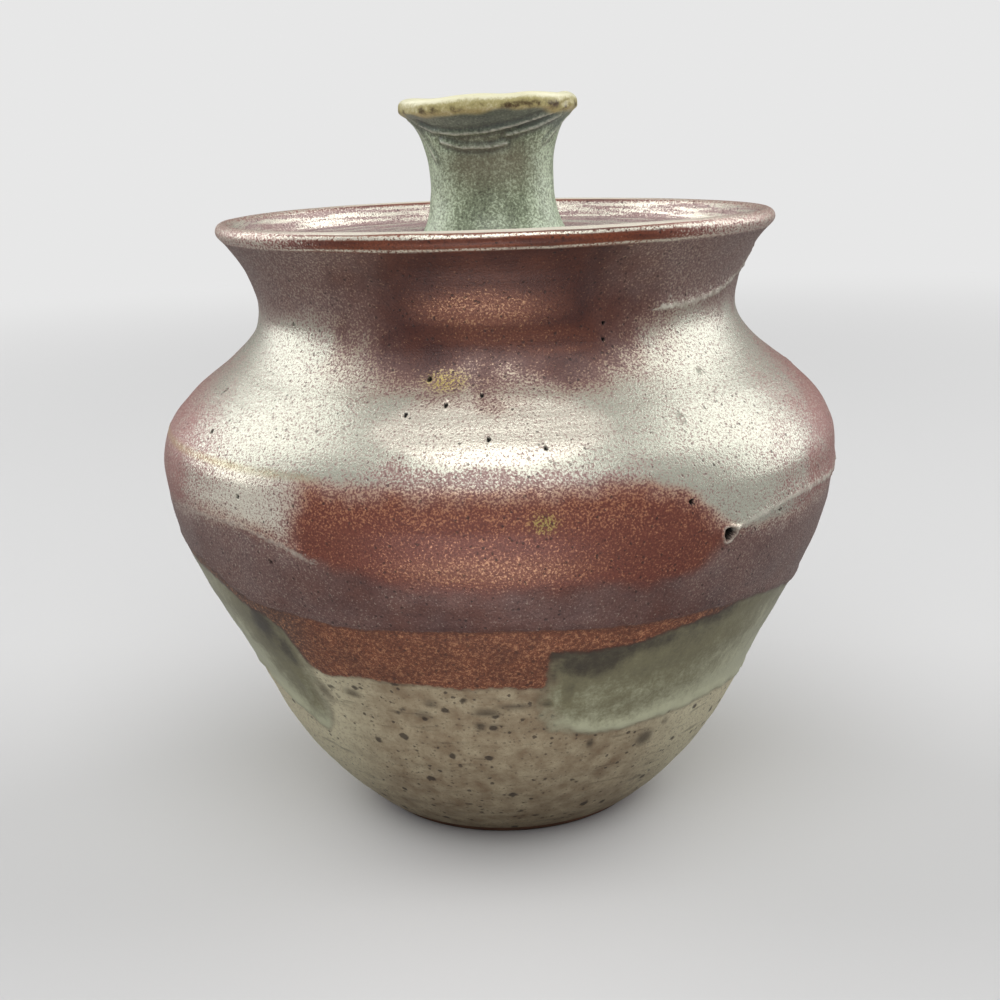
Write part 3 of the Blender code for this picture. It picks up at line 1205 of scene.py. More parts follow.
@dataclass
class Studio:
    """Pale floor, soft lamps and the camera that stands where the photograph was taken.

    A lamp is its place, its width and height, and how bright its face is, where 1 is white.
    """

    eye: Vector = Vector((-0.0003, -0.3387, 0.1614))
    look_down_deg: float = 14.65
    roll_deg: float = 1.7
    focal_share: float = 1.412
    sensor_mm: float = 36.0
    nearest_seen: float = 0.01
    aim: Vector = Vector((0.0, 0.0, 0.09))
    floor_radius: float = 4.0
    floor_segments: int = 96
    floor_level: float = 0.62
    bounce_level: float = 0.24
    backdrop_level: float = 0.80
    room_level: float = 0.09
    soft_level: float = 0.30
    fade_start: float = 0.45
    fade_end: float = 1.3
    overhead: tuple = (Vector((0.0, -0.86, 1.32)), (1.35, 1.40), 2.5)
    left: tuple = (Vector((-1.21, 0.52, 0.86)), (1.20, 1.60), 2.35)
    right: tuple = (Vector((1.26, 0.40, 0.80)), (1.25, 1.60), 2.4)
    card: tuple = (Vector((-0.022, -0.196, 0.004)), (0.16, 0.060), 4.4)

    def build(self) -> None:
        """Make the whole studio."""
        self.camera()
        self.floor()
        self.room()
        self.panel("overhead_panel", *self.overhead)
        self.panel("left_panel", *self.left)
        self.panel("right_panel", *self.right)
        self.panel("front_card", *self.card, upright=True)
        bpy.context.scene.view_settings.view_transform = "Standard"
        LOG.info("studio: camera, floor, room, three panels and a card")

    def camera(self) -> None:
        """Camera at the photograph's place and tilt."""
        data = bpy.data.cameras.new("photograph_view")
        data.sensor_width = self.sensor_mm
        data.lens = self.focal_share * self.sensor_mm
        data.clip_start = self.nearest_seen
        eye = bpy.data.objects.new("photograph_view", data)
        level = Matrix.Rotation(math.radians(90.0 - self.look_down_deg), 4, "X")
        roll = Matrix.Rotation(math.radians(-self.roll_deg), 4, "Z")
        eye.matrix_world = Matrix.Translation(self.eye) @ level @ roll
        bpy.context.scene.collection.objects.link(eye)
        bpy.context.scene.camera = eye

    def floor(self) -> None:
        """Wide disc, pale to the camera, that fades into the backdrop far from the jar."""
        mesh = bpy.data.meshes.new("floor")
        work = bmesh.new()
        size = {"segments": self.floor_segments, "radius": self.floor_radius}
        bmesh.ops.create_circle(work, cap_ends=True, **size)
        work.to_mesh(mesh)
        work.free()
        disc = bpy.data.objects.new("floor", mesh)
        bpy.context.scene.collection.objects.link(disc)
        material, bench = new_material("pale_floor")
        seen = bench.add("ShaderNodeLightPath").outputs["Is Camera Ray"]
        shade = bench.mix(seen, grey(self.bounce_level), grey(self.floor_level))
        matt = bench.add("ShaderNodeBsdfDiffuse", {"Color": shade})
        far = bench.add("ShaderNodeEmission", {"Color": grey(self.backdrop_level)})
        away = bench.add("ShaderNodeVectorMath", {0: bench.place()}, operation="LENGTH").outputs["Value"]
        share = bench.product(bench.rise(away, self.fade_start, self.fade_end), seen)
        mixed = bench.add("ShaderNodeMixShader", {0: share, 1: matt.outputs[0], 2: far.outputs[0]})
        bench.add("ShaderNodeOutputMaterial", {0: mixed.outputs[0]})
        mesh.materials.append(material)

    def room(self) -> None:
        """Even soft light that leaves little gloss, with a pale backdrop for the camera."""
        world = bpy.data.worlds.new("studio_room")
        world.use_nodes = True
        world.node_tree.nodes.clear()
        bench = Bench(world.node_tree)
        path = bench.add("ShaderNodeLightPath").outputs
        level = bench.mix(path["Is Diffuse Ray"], grey(self.room_level), grey(self.soft_level))
        level = bench.mix(path["Is Camera Ray"], level, grey(self.backdrop_level))
        background = bench.add("ShaderNodeBackground", {"Color": level})
        bench.add("ShaderNodeOutputWorld", {0: background.outputs[0]})
        bpy.context.scene.world = world

    def panel(
        self, name: str, place: Vector, size: tuple[float, float], radiance: float, upright: bool = False
    ) -> None:
        """Rectangular lamp that faces the jar, or straight up.

        Args:
            name: The lamp's name.
            place: Its middle.
            size: Its width and height.
            radiance: How bright its face is, where 1 is white.
            upright: Whether it lies level and shines up.
        """
        data = bpy.data.lights.new(name, "AREA")
        data.shape = "RECTANGLE"
        data.size, data.size_y = size
        data.energy = radiance * math.pi * size[0] * size[1]
        lamp = bpy.data.objects.new(name, data)
        way = Vector((0.0, 0.0, 1.0)) if upright else self.aim - place
        lamp.matrix_world = Matrix.Translation(place) @ way.to_track_quat("-Z", "Y").to_matrix().to_4x4()
        lamp.visible_camera = False
        bpy.context.scene.collection.objects.link(lamp)


@dataclass(frozen=True)
class Band:
    """One band of the iron-red glaze: where it lies, and what its ground and crystals are."""

    share: object
    ground: object
    cover: object
    crystal: object


class RedBands:
    """The jar's iron-red glaze, whose ground and crystals change from band to band.

    Widths are in mm to each side of the axis, heights in mm above the foot, and lip_mm is
    the distance past the top of the lip, above zero outside.
    """

    def __init__(self, skin: Skin, edge: dict) -> None:
        """Read what the bands depend on.

        Args:
            skin: The jar's surface.
            edge: Outputs of the glaze edges, by name.
        """
        bench = skin.bench
        self.skin, self.bench, self.edge = skin, bench, edge
        self.red = Oxblood()
        self.cloud = skin.cloud(Cloud(10.0, contrast=2.2))
        uneven = bench.maths("MULTIPLY_ADD", self.cloud, 6.0, -3.0)
        self.ragged = bench.total(bench.attribute("height_mm"), uneven)
        self.x_mm = bench.across_mm(skin.place)
        self.across = bench.maths("ABSOLUTE", self.x_mm)
        self.lip_mm = bench.attribute("lip_mm")
        self.rings = skin.rings(Lines(1.4))
        self.ringed = bench.rise(self.rings, -0.5, 0.6)

    def neck(self) -> Socket:
        """Where the front of the neck is painted dark: the glaze's own dark wine, with painted shade where
        no lamp is reflected.

        Returns:
            The mask, from 0 to 1.
        """
        bench = self.bench
        wide = bench.total(self.across, bench.maths("MULTIPLY_ADD", self.cloud, 12.0, -6.0))
        high = bench.rise(self.ragged, 107.0, 120.0)
        return bench.product(high, bench.rise(wide, 39.0, 17.0), bench.rise(self.lip_mm, 2.0, 5.0))

    def lip_highlight_rings(self) -> tuple[Socket, Socket]:
        """Pale crystals in two rings below the lip and in one on top of it, which paint the rim's
        highlight lines.

        Returns:
            The pair of rings, and all three as crisp dots.
        """
        bench = self.bench
        dots = bench.rise(self.skin.grain(Grain(0.5)), -0.9, 0.1)
        uneven = bench.maths("MULTIPLY_ADD", self.rings, 0.25, self.lip_mm)
        thin = bench.product(bench.hump(uneven, 5.1, 0.6), dots, 0.75)
        pair = bench.maths("MAXIMUM", bench.product(bench.hump(uneven, 2.1, 0.6), dots), thin)
        top = bench.product(bench.rise(uneven, 1.5, 1.2), bench.rise(self.lip_mm, -1.4, -0.8))
        return pair, bench.maths("MAXIMUM", top, bench.product(pair, 0.9))

    def upper_bands(self) -> tuple[Band, ...]:
        """Bands of the belly and the shoulder, each laid over the ones before it.

        Returns:
            The bands.
        """
        bench, red, ragged = self.bench, self.red, self.ragged
        belly = bench.blend(bench.rise(ragged, 84.0, 92.0), 0.29, 0.46)
        # More cream crystals towards the left and the right, where the side lamps are reflected: partly a
        # painted highlight.
        beside = bench.blend(bench.rise(self.x_mm, -42.0, -54.0), 0.68, 0.88)
        beside = bench.blend(bench.rise(self.x_mm, 20.0, 34.0), beside, 0.92)
        low = bench.product(bench.rise(ragged, 100.5, 97.0), bench.rise(self.across, 32.0, 20.0))
        # Painted highlight: a soft patch of cream crystals at the front of the shoulder, where the
        # overhead lamp is reflected.
        painted_highlight = bench.maths("MULTIPLY_ADD", self.cloud, 0.3, -0.15)
        painted_highlight = bench.total(bench.attribute("painted_highlight"), painted_highlight)
        frayed = bench.maths("MULTIPLY_ADD", self.cloud, 10.0, self.across)
        flank = bench.product(bench.rise(frayed, 57.0, 80.0), self.edge["purple"]["Mask"], 0.85)
        return (
            Band(self.edge["purple"]["Mask"], red.belly, belly, red.copper),
            Band(self.edge["upper"]["Mask"], red.shoulder, beside, red.cream),
            Band(self.edge["ridge"]["Mask"], red.shoulder, bench.blend(low, 0.84, 0.5), red.silver),
            Band(bench.rise(painted_highlight, 0.15, 0.6), red.shoulder, 0.86, red.cream),
            Band(flank, red.flank, 0.24, red.silver),
            Band(bench.rise(ragged, 118.0, 128.5), red.smoke, 0.42, red.pewter),
        )

    def neck_bands(self, neck: Socket, pair: Socket) -> tuple[Band, ...]:
        """Bands of the neck, the lip and the wall inside it, laid over the others.

        Args:
            neck: Where the front of the neck is painted dark, partly as shade.
            pair: The two rings of crystals below the lip.

        Returns:
            The bands.
        """
        bench, red = self.bench, self.red
        lip = bench.mix(self.ringed, red.lip, red.rim)
        lip = bench.mix(bench.rise(self.across, 28.0, 52.0), lip, red.flank)
        lip_cover = bench.blend(bench.rise(self.across, 26.0, 50.0), pair, 0.6)
        # Inside the lip, cream crystals on the throwing rings paint the far wall's highlight streaks.
        inner_cover = bench.blend(self.ringed, 0.35, 0.98)
        return (
            # Dark front of the neck: its own dark glaze, with painted shade where no lamp is reflected.
            Band(neck, red.neck, 0.08, red.bronze),
            # Copper patches, at the front a painted reflection.
            Band(bench.attribute("copper"), red.ember, 0.46, red.bronze),
            # Lip band: its crystals, thickest in the rings below the lip, partly paint the rim's highlight
            # lines.
            Band(bench.rise(self.lip_mm, 5.9, 5.0), lip, lip_cover, red.cream),
            Band(bench.rise(self.lip_mm, -1.2, -2.6), red.blush, inner_cover, red.cream),
            Band(bench.rise(self.lip_mm, -13.0, -16.0), red.neck, 0.45, red.silver),
        )

    def coat(self) -> Coat:
        """Lay the bands over each other and scatter the crystals.

        Returns:
            The coat.
        """
        bench, red = self.bench, self.red
        neck = self.neck()
        pair, crisp = self.lip_highlight_rings()
        # Towards both sides the lower glaze turns from wine to smoke with more pewter crystals: partly
        # random cloud, partly a painted sheen.
        sides = bench.product(bench.rise(self.across, 22.0, 56.0), 0.7)
        sides = bench.total(bench.product(self.cloud, 0.6), sides)
        ground = bench.mix(bench.clamped(sides), red.wine, red.smoke)
        cover, crystal = bench.blend(sides, 0.14, 0.34), red.pewter
        for band in self.upper_bands() + self.neck_bands(neck, pair):
            ground = bench.mix(band.share, ground, band.ground)
            cover = bench.blend(band.share, cover, band.cover)
            crystal = bench.mix(band.share, crystal, band.crystal)
        gold = bench.attribute("gold")
        crystal = bench.mix(gold, crystal, red.gold)
        cover = bench.blend(bench.product(gold, 0.8), cover, 0.6)
        coat = red.coat(self.skin, ground, crystal, cover)
        left = bench.rise(self.x_mm, -34.0, -40.0)
        ochre = bench.product(bench.hump(bench.attribute("ridge_mm"), 0.3, 1.4), left, self.cloud)
        # Painted highlight: cream dots along the front of the rim.
        front = bench.rise(self.across, 60.0, 30.0)
        coat.colour = bench.layered(
            coat.colour, (ochre, 0.45, red.gold), (bench.product(crisp, front), 0.85, red.cream)
        )
        drawn = bench.blend(neck, bench.blend(self.edge["upper"]["Mask"], 0.010, 0.018), 0.016)
        coat.relief_mm = bench.total(coat.relief_mm, bench.product(self.rings, drawn))
        return coat


@dataclass
class ThrownJar:
    """The jar body: thrown wall, gallery and foot, with its glazes.

    Lines on the wall are (azimuth in degrees, height in mm). A pit, pimple or blister adds
    its radius, and a soft mark its half width, its half height and its strength. A crease
    is a line and its strength. Past 70 degrees to each side they carry on in the same
    manner. An edge look is the name of a coat, then in mm the wobble of its edge, how far
    apart the wobbles lie and how soft it is. The celadon ends nearly upright at
    upright_deg and without a roll at flat_deg, and far_mm stands for no edge near.
    """

    wheel: Wheel
    effects: Effects
    node: str = "jar_body"
    body: BodyName = BodyName.JAR
    slot: str = "jar_glaze"
    rows: int = 258
    columns: int = 344
    oxblood_line: Line = (
        (-178, 66), (-140, 69), (-105, 72), (-75, 73), (-58.5, 71.8), (-53, 68.6), (-46.5, 65.9),
        (-34.8, 65.4), (-25, 64.5), (-8.5, 65.4), (5.2, 65.4), (23.5, 64.1), (45.5, 63.6),
        (58, 61.5), (66.5, 59.3), (90, 60), (130, 64),
    )
    rust_line: Line = (
        (-178, 64), (-140, 67.5), (-105, 70.5), (-75, 71.5), (-57.8, 69), (-49, 64.5), (-44, 63.5),
        (-40.5, 60.6), (-39.2, 55), (-38.2, 51.2), (-34.5, 49.5), (-27.8, 51.2), (-23.2, 50.8),
        (-15.5, 50.8), (-8, 50.1), (-1.2, 50.5), (6.6, 49.9), (7.2, 59.7), (15.5, 59.3),
        (22.5, 59.7), (29.8, 61.4), (38, 62.6), (44, 64.0), (58, 63.2), (66.5, 61.0),
        (90, 61.5), (130, 65.5),
    )
    celadon_line: Line = (
        (-178, 52), (-172, 50), (-155, 48), (-150, 41), (-120, 38), (-90, 40.5), (-64.2, 41.0),
        (-60.5, 38.5), (-55.5, 36.6), (-51, 34.8), (-47.5, 32.4), (-44.2, 31.2), (-42, 33.6),
        (-40.9, 43.2), (-40, 50.3), (-37.5, 58), (-34, 66), (2, 66), (7.0, 60), (7.8, 45),
        (8.9, 39.4), (13.5, 36.5), (18.8, 35.6), (24.2, 35.3),
        (36.3, 36.5), (52.3, 36.9), (65.3, 35), (95, 36), (135, 39), (150, 44), (158, 52),
    )
    upper_line: Line = (
        (-178, 85), (-120, 84), (-52, 84.1), (-42.5, 84.6), (-34.2, 82.5), (-32.4, 83.4), (-31.6, 89),
        (-30.4, 93), (-29.4, 95.6), (-20, 96), (20, 95.8), (27.8, 92.2), (36.3, 82.6), (44.5, 82),
        (53.5, 82), (68, 83.1), (120, 84),
    )
    purple_line: Line = (
        (-178, 84.6), (-120, 83.6), (-52, 84.0), (-42.5, 84.4), (-34.2, 82), (-29.3, 79.5), (-23.2, 78.5),
        (-15, 76.1), (-3.5, 74.7), (11, 74.7), (22, 73.2), (30.5, 74.7), (36.3, 82), (44.5, 81.6),
        (53.5, 81.6), (68, 82.7), (120, 83.6),
    )
    ridge_line: Line = (
        (-178, 96.5), (-120, 95), (-72.8, 96.1), (-31, 96), (20, 95.8), (27.8, 92.2), (36.3, 82.6),
        (44.5, 82), (53.5, 82), (68, 83.1), (100, 86), (140, 93),
    )
    creases: tuple = (
        (((37, 125.0), (46, 125.2), (55, 126.1), (63, 127.5), (72, 130), (84, 134)), 1.0),
        (((36.6, 82.4), (42, 84.1), (49, 85.4), (58, 85.6), (70, 84.6), (84, 86)), 0.9),
        (((-56, 84.2), (-42.5, 84.6), (-34.2, 82), (-29.3, 79.5)), 0.45),
    )
    blister: Vector = Vector((35.2, 81.5, 1.45))
    pits: tuple = (
        (27.8, 89.8, 0.62), (22.5, 123.0, 0.4), (22.2, 119.7, 0.42), (-13.2, 113.7, 0.5),
        (-3.0, 110.9, 0.4), (-62.5, 108.0, 0.42), (-51.0, 122.4, 0.4), (-15.8, 107.7, 0.4),
        (-9.2, 109.3, 0.42), (-1.7, 103.9, 0.45), (6.8, 102.1, 0.42), (-54.5, 101.2, 0.4),
        (-42.5, 90.6, 0.5), (-37.2, 77.6, 0.5), (46.5, 83.4, 0.42), (-100.0, 104.0, 0.6),
        (-128.0, 92.0, 0.7), (-160.0, 110.0, 0.5), (150.0, 99.0, 0.7), (118.0, 88.0, 0.6),
        (88.0, 106.0, 0.5), (172.0, 84.0, 0.8), (100.0, 118.0, 0.5), (-88.0, 86.0, 0.6),
    )
    pimples: tuple = ((42.2, 111.4, 0.8), (31.2, 104.6, 0.9), (-30.8, 82.0, 0.9), (-27.5, 80.6, 0.6))
    smudges: tuple = (
        (7.8, 58.8, 2.8, 2.2, 1.0), (8.0, 53.2, 1.0, 2.6, 0.5), (14.0, 56.2, 8.4, 4.6, 0.72),
        (24.0, 58.8, 9.0, 2.4, 0.4), (38.0, 61.5, 10.0, 2.0, 0.45), (11.0, 48.0, 1.6, 4.0, 0.4),
        (-38.5, 44.0, 2.0, 3.2, 0.6), (-46.5, 60.5, 4.0, 4.6, 0.7), (-43.0, 53.0, 2.4, 4.4, 0.5),
        (-41.0, 38.5, 1.8, 4.0, 0.4),
        (-31.0, 45.4, 2.8, 0.9, 0.8), (-14.5, 45.4, 2.0, 0.7, 0.9), (-4.0, 43.2, 3.4, 1.1, 0.8),
        (1.5, 44.6, 4.6, 0.7, 0.8), (7.5, 45.2, 1.5, 0.9, 0.9), (-5.5, 39.4, 1.2, 1.1, 0.9),
        (-16.5, 42.0, 2.2, 1.4, 0.5), (31.5, 30.2, 2.4, 2.4, 0.8), (17.5, 32.4, 1.0, 1.3, 0.9),
        (36.0, 33.8, 1.2, 0.9, 0.6), (100.0, 46.0, 5.0, 3.0, 0.6), (-110.0, 47.0, 4.0, 4.0, 0.6),
        (165.0, 44.0, 6.0, 1.2, 0.8), (-170.0, 38.0, 3.0, 1.4, 0.7),
    )
    gold_marks: tuple = (
        (-10.0, 113.5, 5.2, 2.2, 1.0), (5.8, 88.6, 3.2, 2.6, 1.0), (-112.0, 90.0, 3.0, 1.4, 0.8),
    )
    # Painted highlight: the soft patch at the front of the shoulder that the cream crystals brighten.
    painted_highlight_marks: tuple = ((-1.5, 105.2, 26.0, 6.0, 1.0),)
    # Copper patches: those at the front of the neck and the belly are painted reflections of what lies low
    # in front, laid as copper crystals.
    copper_and_reflection_marks: tuple = (
        (-3.0, 127.0, 16.0, 4.6, 0.9), (2.0, 121.6, 18.0, 2.4, 0.5), (12.0, 118.4, 7.0, 1.0, 0.5),
        (-2.0, 79.2, 22.0, 3.4, 0.8), (170.0, 124.0, 12.0, 2.4, 0.7),
    )
    edge_looks: tuple = (
        ("oxblood", 0.5, 3.0, 0.3), ("rust", 0.9, 1.8, 0.4), ("celadon", 0.9, 3.0, 0.9),
        ("upper", 3.2, 5.0, 5.0), ("ridge", 1.0, 3.0, 1.4), ("purple", 2.4, 6.0, 2.2),
    )
    mean_radius_mm: float = 70.0
    gallery_mm: float = 14.0
    foot_height_mm: float = 2.4
    blister_reach_mm: float = 5.2
    pit_reach_mm: float = 1.6
    pit_reach_gain: float = 1.3
    fine_cuts: int = 3
    neck_shift_mm: float = 0.35
    rim_warp_mm: float = 0.22
    far_mm: float = 30.0
    upright_deg: tuple[float, float] = (8.0, -41.0)
    flat_deg: tuple[float, float] = (8.0, -40.5)
    broken: BrokenGlaze = BrokenGlaze()
    crest: float = field(init=False, default=0.0)

    def build(self) -> bpy.types.Object:
        """Turn, shape and dress the jar body.

        Returns:
            The piece.
        """
        outline = Outline.of_node(self.node)
        self.crest = outline.crest()
        outside = smooth_step(outline.run, self.crest - self.gallery_mm, self.crest)
        under = (outline.run > self.crest) & (outline.points[:, 1] < self.foot_height_mm)
        rows = outline.rows(self.rows, 0.42 + 0.72 * outside - 0.5 * under)
        piece = self.wheel.turn("thrown_jar", rows, self.columns, self.finish())
        wall = Wall(piece)
        spots = [(self.on_wall(wall, *self.blister[:2]), self.blister_reach_mm)]
        for azimuth_deg, height_mm, size_mm in self.pits + self.pimples:
            reach_mm = self.pit_reach_mm + self.pit_reach_gain * size_mm
            spots.append((self.on_wall(wall, azimuth_deg, height_mm), reach_mm))
        refined_near(piece, spots, self.fine_cuts)
        self.shape(Wall(piece))
        return piece

    def on_wall(self, wall: Wall, azimuth_deg: float, height_mm: float) -> Vector:
        """Find the vertex of the outside wall that is nearest to a mark.

        Args:
            wall: The vertices.
            azimuth_deg: Where the mark is round the jar.
            height_mm: Where it is up the wall.

        Returns:
            The vertex's place in metres.
        """
        off = np.hypot(*wall.off_mark((azimuth_deg, height_mm)))
        off[wall.along < self.crest] = np.inf
        return Vector(wall.places[off.argmin()] * MM)

    def shape(self, wall: Wall) -> None:
        """Give the wall its throwing rings, glaze edges, blister and pits.

        Args:
            wall: The vertices of the turned jar.
        """
        past_crest = wall.along - self.crest
        outside = smooth_step(past_crest, -1.0, 2.0)
        above = self.distances(wall)
        relief = outside * self.outer_relief(wall, above)
        wall.swell(relief + (1.0 - outside) * self.inner_relief(wall, past_crest))
        wall.shift(0, self.neck_shift_mm * smooth_step(wall.height, 100.0, 130.0))
        warp = self.rim_warp_mm * np.sin(2.0 * wall.azimuth + 0.8)
        wall.shift(2, warp * smooth_step(wall.height, 128.0, 142.0))
        for name, values in above.items():
            wall.keep(name + "_mm", np.where(past_crest > -3.0, values, self.far_mm))
        wall.keep("pool", self.pooled(wall))
        wall.keep("lip_mm", past_crest)
        wall.keep("height_mm", wall.height)
        wall.keep("bare", self.bare(wall, past_crest))
        wall.keep("smoke", outside * self.marks(wall, self.smudges))
        wall.keep("gold", outside * self.marks(wall, self.gold_marks))
        wall.keep("copper", outside * self.marks(wall, self.copper_and_reflection_marks))
        wall.keep("painted_highlight", outside * self.marks(wall, self.painted_highlight_marks))
        wall.keep("pit", outside * self.holes(wall))
        wall.keep("crust", outside * self.crust(wall))
        signed, shown = self.crease_marks(wall)
        wall.keep("crease_mm", signed)
        wall.keep("crease", outside * shown)
        wall.write()

    def distances(self, wall: Wall) -> dict[str, Field]:
        """Distance over the lower edge of each coat, in mm.

        Args:
            wall: The vertices.

        Returns:
            The distances by the coat's name. They are shortened where the celadon's edge
            runs nearly upright, so that it shows soft there.
        """
        lines = {
            "oxblood": self.oxblood_line,
            "rust": self.rust_line,
            "celadon": self.celadon_line,
            "upper": self.upper_line,
            "purple": self.purple_line,
            "ridge": self.ridge_line,
        }
        above = {name: GlazeLine(line).above(wall) for name, line in lines.items()}
        right, left = (bell(wall.azimuth_deg - middle, 6.0) for middle in self.upright_deg)
        upright = np.maximum(right, left)
        above["celadon"] *= 1.0 - 0.8 * upright * smooth_step(wall.height, 32.0, 38.0)
        return above

    def pooled(self, wall: Wall) -> Field:
        """How thick the celadon lies, from 0 to 1.2.

        Args:
            wall: The vertices.

        Returns:
            The thickness, highest at the lower edge, and raised at the sides, partly as thicker glaze and
            partly as a painted sheen.
        """
        depth = wall.height - np.minimum(GlazeLine(self.celadon_line).level(wall), 40.0)
        # Paler towards both sides: partly thicker glaze, partly a painted sheen.
        paler_and_sheen = 0.35 * smooth_step(wall.azimuth_deg, 30.0, 62.0)
        paler_and_sheen = paler_and_sheen + 0.4 * smooth_step(-wall.azimuth_deg, 47.0, 60.0)
        rolled = 0.62 * np.exp(-np.maximum(depth, 0.0) / 4.5)
        return np.clip(0.46 + rolled - 0.24 * smooth_step(depth, 10.0, 24.0) + paler_and_sheen, 0.0, 1.2)

    def bare(self, wall: Wall, past_crest: Field) -> Field:
        """Where the clay is bare: the ledge of the gallery, the foot and the underside.

        Args:
            wall: The vertices.
            past_crest: Distance along the outline from the top of the lip, in mm.

        Returns:
            The mask, from 0 to 1.
        """
        ledge = bell(past_crest + 13.2, 3.2) * (wall.height > 128.0)
        foot = 1.0 - smooth_step(wall.height, 0.5, 1.3)
        under = (past_crest > 60.0) & (wall.radius < 36.0) & (wall.height < 3.0)
        return np.maximum(ledge, np.maximum(foot, under))

    def thrown_rings(self, wall: Wall) -> Field:
        """How far the outside swells from throwing alone, in mm.

        Args:
            wall: The vertices.

        Returns:
            The swell.
        """
        mean, turns = self.mean_radius_mm, wall.azimuth / math.tau
        broad = wall.height / 8.3 + turns
        swell = 0.055 * np.sin(math.tau * broad + 1.3 * wall.waves(3, 60.0, mean))
        fine = 1.6 * wall.waves(4, 30.0, mean, level=3.0)
        swell += 0.018 * np.sin(math.tau * wall.height / 3.9 + fine)
        swell += 0.08 * wall.waves(5, 34.0, mean)
        swell += 0.03 * wall.waves(6, 11.0, mean, level=1.6)
        return swell * smooth_step(wall.height, 0.8, 6.0)

    def outer_relief(self, wall: Wall, above: dict[str, Field]) -> Field:
        """How far the outside swells: rings, thick glaze edges, creases and flaws, in mm.

        Args:
            wall: The vertices.
            above: Distance over the lower edge of each coat.

        Returns:
            The swell.
        """
        swell = self.thrown_rings(wall)
        fray = 0.5 * wall.waves(7, 5.0, self.mean_radius_mm)
        under_rust = smooth_step(-above["rust"], 0.0, 1.0)
        right, left = (
            smooth_step(np.abs(wall.azimuth_deg - middle), 2.0, 6.0) for middle in self.flat_deg
        )
        edges = (
            ("oxblood", 0.27, 1.0, 1.0),
            ("celadon", 0.34, 0.8, under_rust * (right * left)),
            ("rust", 0.12, 0.6, smooth_step(-above["oxblood"], 0.0, 1.0)),
            ("ridge", 0.10, 0.9, 1.0),
        )
        for name, roll, width, shown in edges:
            off = above[name] + fray
            coat = 0.5 * roll * smooth_step(off, -0.4, 0.5) * np.exp(-np.maximum(off, 0.0) / 14.0)
            swell += shown * (coat + roll * bell(off - width, 0.6 * width))
        rough = 1.0 + 0.6 * wall.waves(8, 2.2, self.mean_radius_mm, count=90)
        for crease, strength in self.creases:
            swell += 0.34 * strength * rough * bell(stroke_distance(crease, wall), 0.95)
        return swell + self.flaws(wall)

    def inner_relief(self, wall: Wall, past_crest: Field) -> Field:
        """How far the inside swells: finger rings below the gallery, fine rings above it.

        Args:
            wall: The vertices.
            past_crest: Distance along the outline from the top of the lip, in mm.

        Returns:
            The swell, in mm.
        """
        rings = 0.12 * np.sin(math.tau * (wall.height / 6.1 - wall.azimuth / math.tau))
        rings *= smooth_step(wall.height, 8.0, 12.0) * smooth_step(-past_crest, 17.0, 24.0)
        uneven = Wander(9, 40.0, 60.0, 3.0)(wall.azimuth, past_crest)
        fine = 0.06 * np.sin(math.tau * past_crest / 2.6 + uneven)
        return rings + fine * smooth_step(-past_crest, 1.0, 3.0) * smooth_step(past_crest, -11.0, -8.0)

    def flaws(self, wall: Wall) -> Field:
        """How far the wall swells round the burst blister, the pits and the pimples.

        Args:
            wall: The vertices.

        Returns:
            The swell in mm, below zero inside a hole.
        """
        swell = np.zeros_like(wall.radius)
        for mark in (self.blister, *self.pits):
            off = self.ragged_off(wall, mark)
            swell += mark[2] * (0.30 * bell(off - 1.28, 0.18) - 1.3 * smooth_step(off, 1.0, 0.7))
        for mark in self.pimples:
            swell += 0.45 * mark[2] * bell(np.hypot(*wall.off_mark(mark)), 0.6 * mark[2])
        return swell

    def ragged_off(self, wall: Wall, mark: Vector | tuple) -> Field:
        """Distance from a hole's middle, with an uneven border.

        Args:
            wall: The vertices.
            mark: The hole.

        Returns:
            The distance in shares of the hole's radius.
        """
        over, up = wall.off_mark(mark)
        turn = np.arctan2(up, over)
        uneven = 0.12 * np.sin(3.0 * turn + mark[0]) + 0.05 * np.sin(7.0 * turn)
        return np.hypot(over, up) / mark[2] + uneven

    def holes(self, wall: Wall) -> Field:
        """Where the blister and the pits are open.

        Args:
            wall: The vertices.

        Returns:
            The mask, from 0 to 1.
        """
        dark = np.zeros_like(wall.radius)
        for mark in (self.blister, *self.pits):
            dark = np.maximum(dark, smooth_step(self.ragged_off(wall, mark), 1.12, 0.92))
        return dark

    def crust(self, wall: Wall) -> Field:
        """Where the glaze stands up thin round the burst blister; its paleness there is partly a painted
        highlight.
        """
        return bell(self.ragged_off(wall, self.blister) - 1.27, 0.12)

    def crease_marks(self, wall: Wall) -> tuple[Field, Field]:
        """Find the nearest crease.

        Args:
            wall: The vertices.

        Returns:
            The distance in mm over that crease, below zero under it, and how strongly it
            shows.
        """
        signed = np.full_like(wall.radius, 9.0)
        shown = np.zeros_like(wall.radius)
        for crease, strength in self.creases:
            off = stroke_distance(crease, wall)
            near = strength * bell(off, 2.2)
            line = np.array(crease, float)
            over = wall.height > np.interp(wall.azimuth_deg, line[:, 0], line[:, 1])
            signed = np.where(near > shown, np.where(over, off, -off), signed)
            shown = np.maximum(shown, near)
        return signed, shown

    def marks(self, wall: Wall, marks: tuple) -> Field:
        """Shade the wall with soft marks.

        Args:
            wall: The vertices.
            marks: The marks.

        Returns:
            The shade, from 0 to 1.
        """
        shade = np.zeros_like(wall.radius)
        for mark in marks:
            over, up = wall.off_mark(mark)
            off = np.hypot(over / mark[2], up / mark[3])
            shade = np.maximum(shade, mark[4] * smooth_step(off, 1.3, 0.4))
        return shade

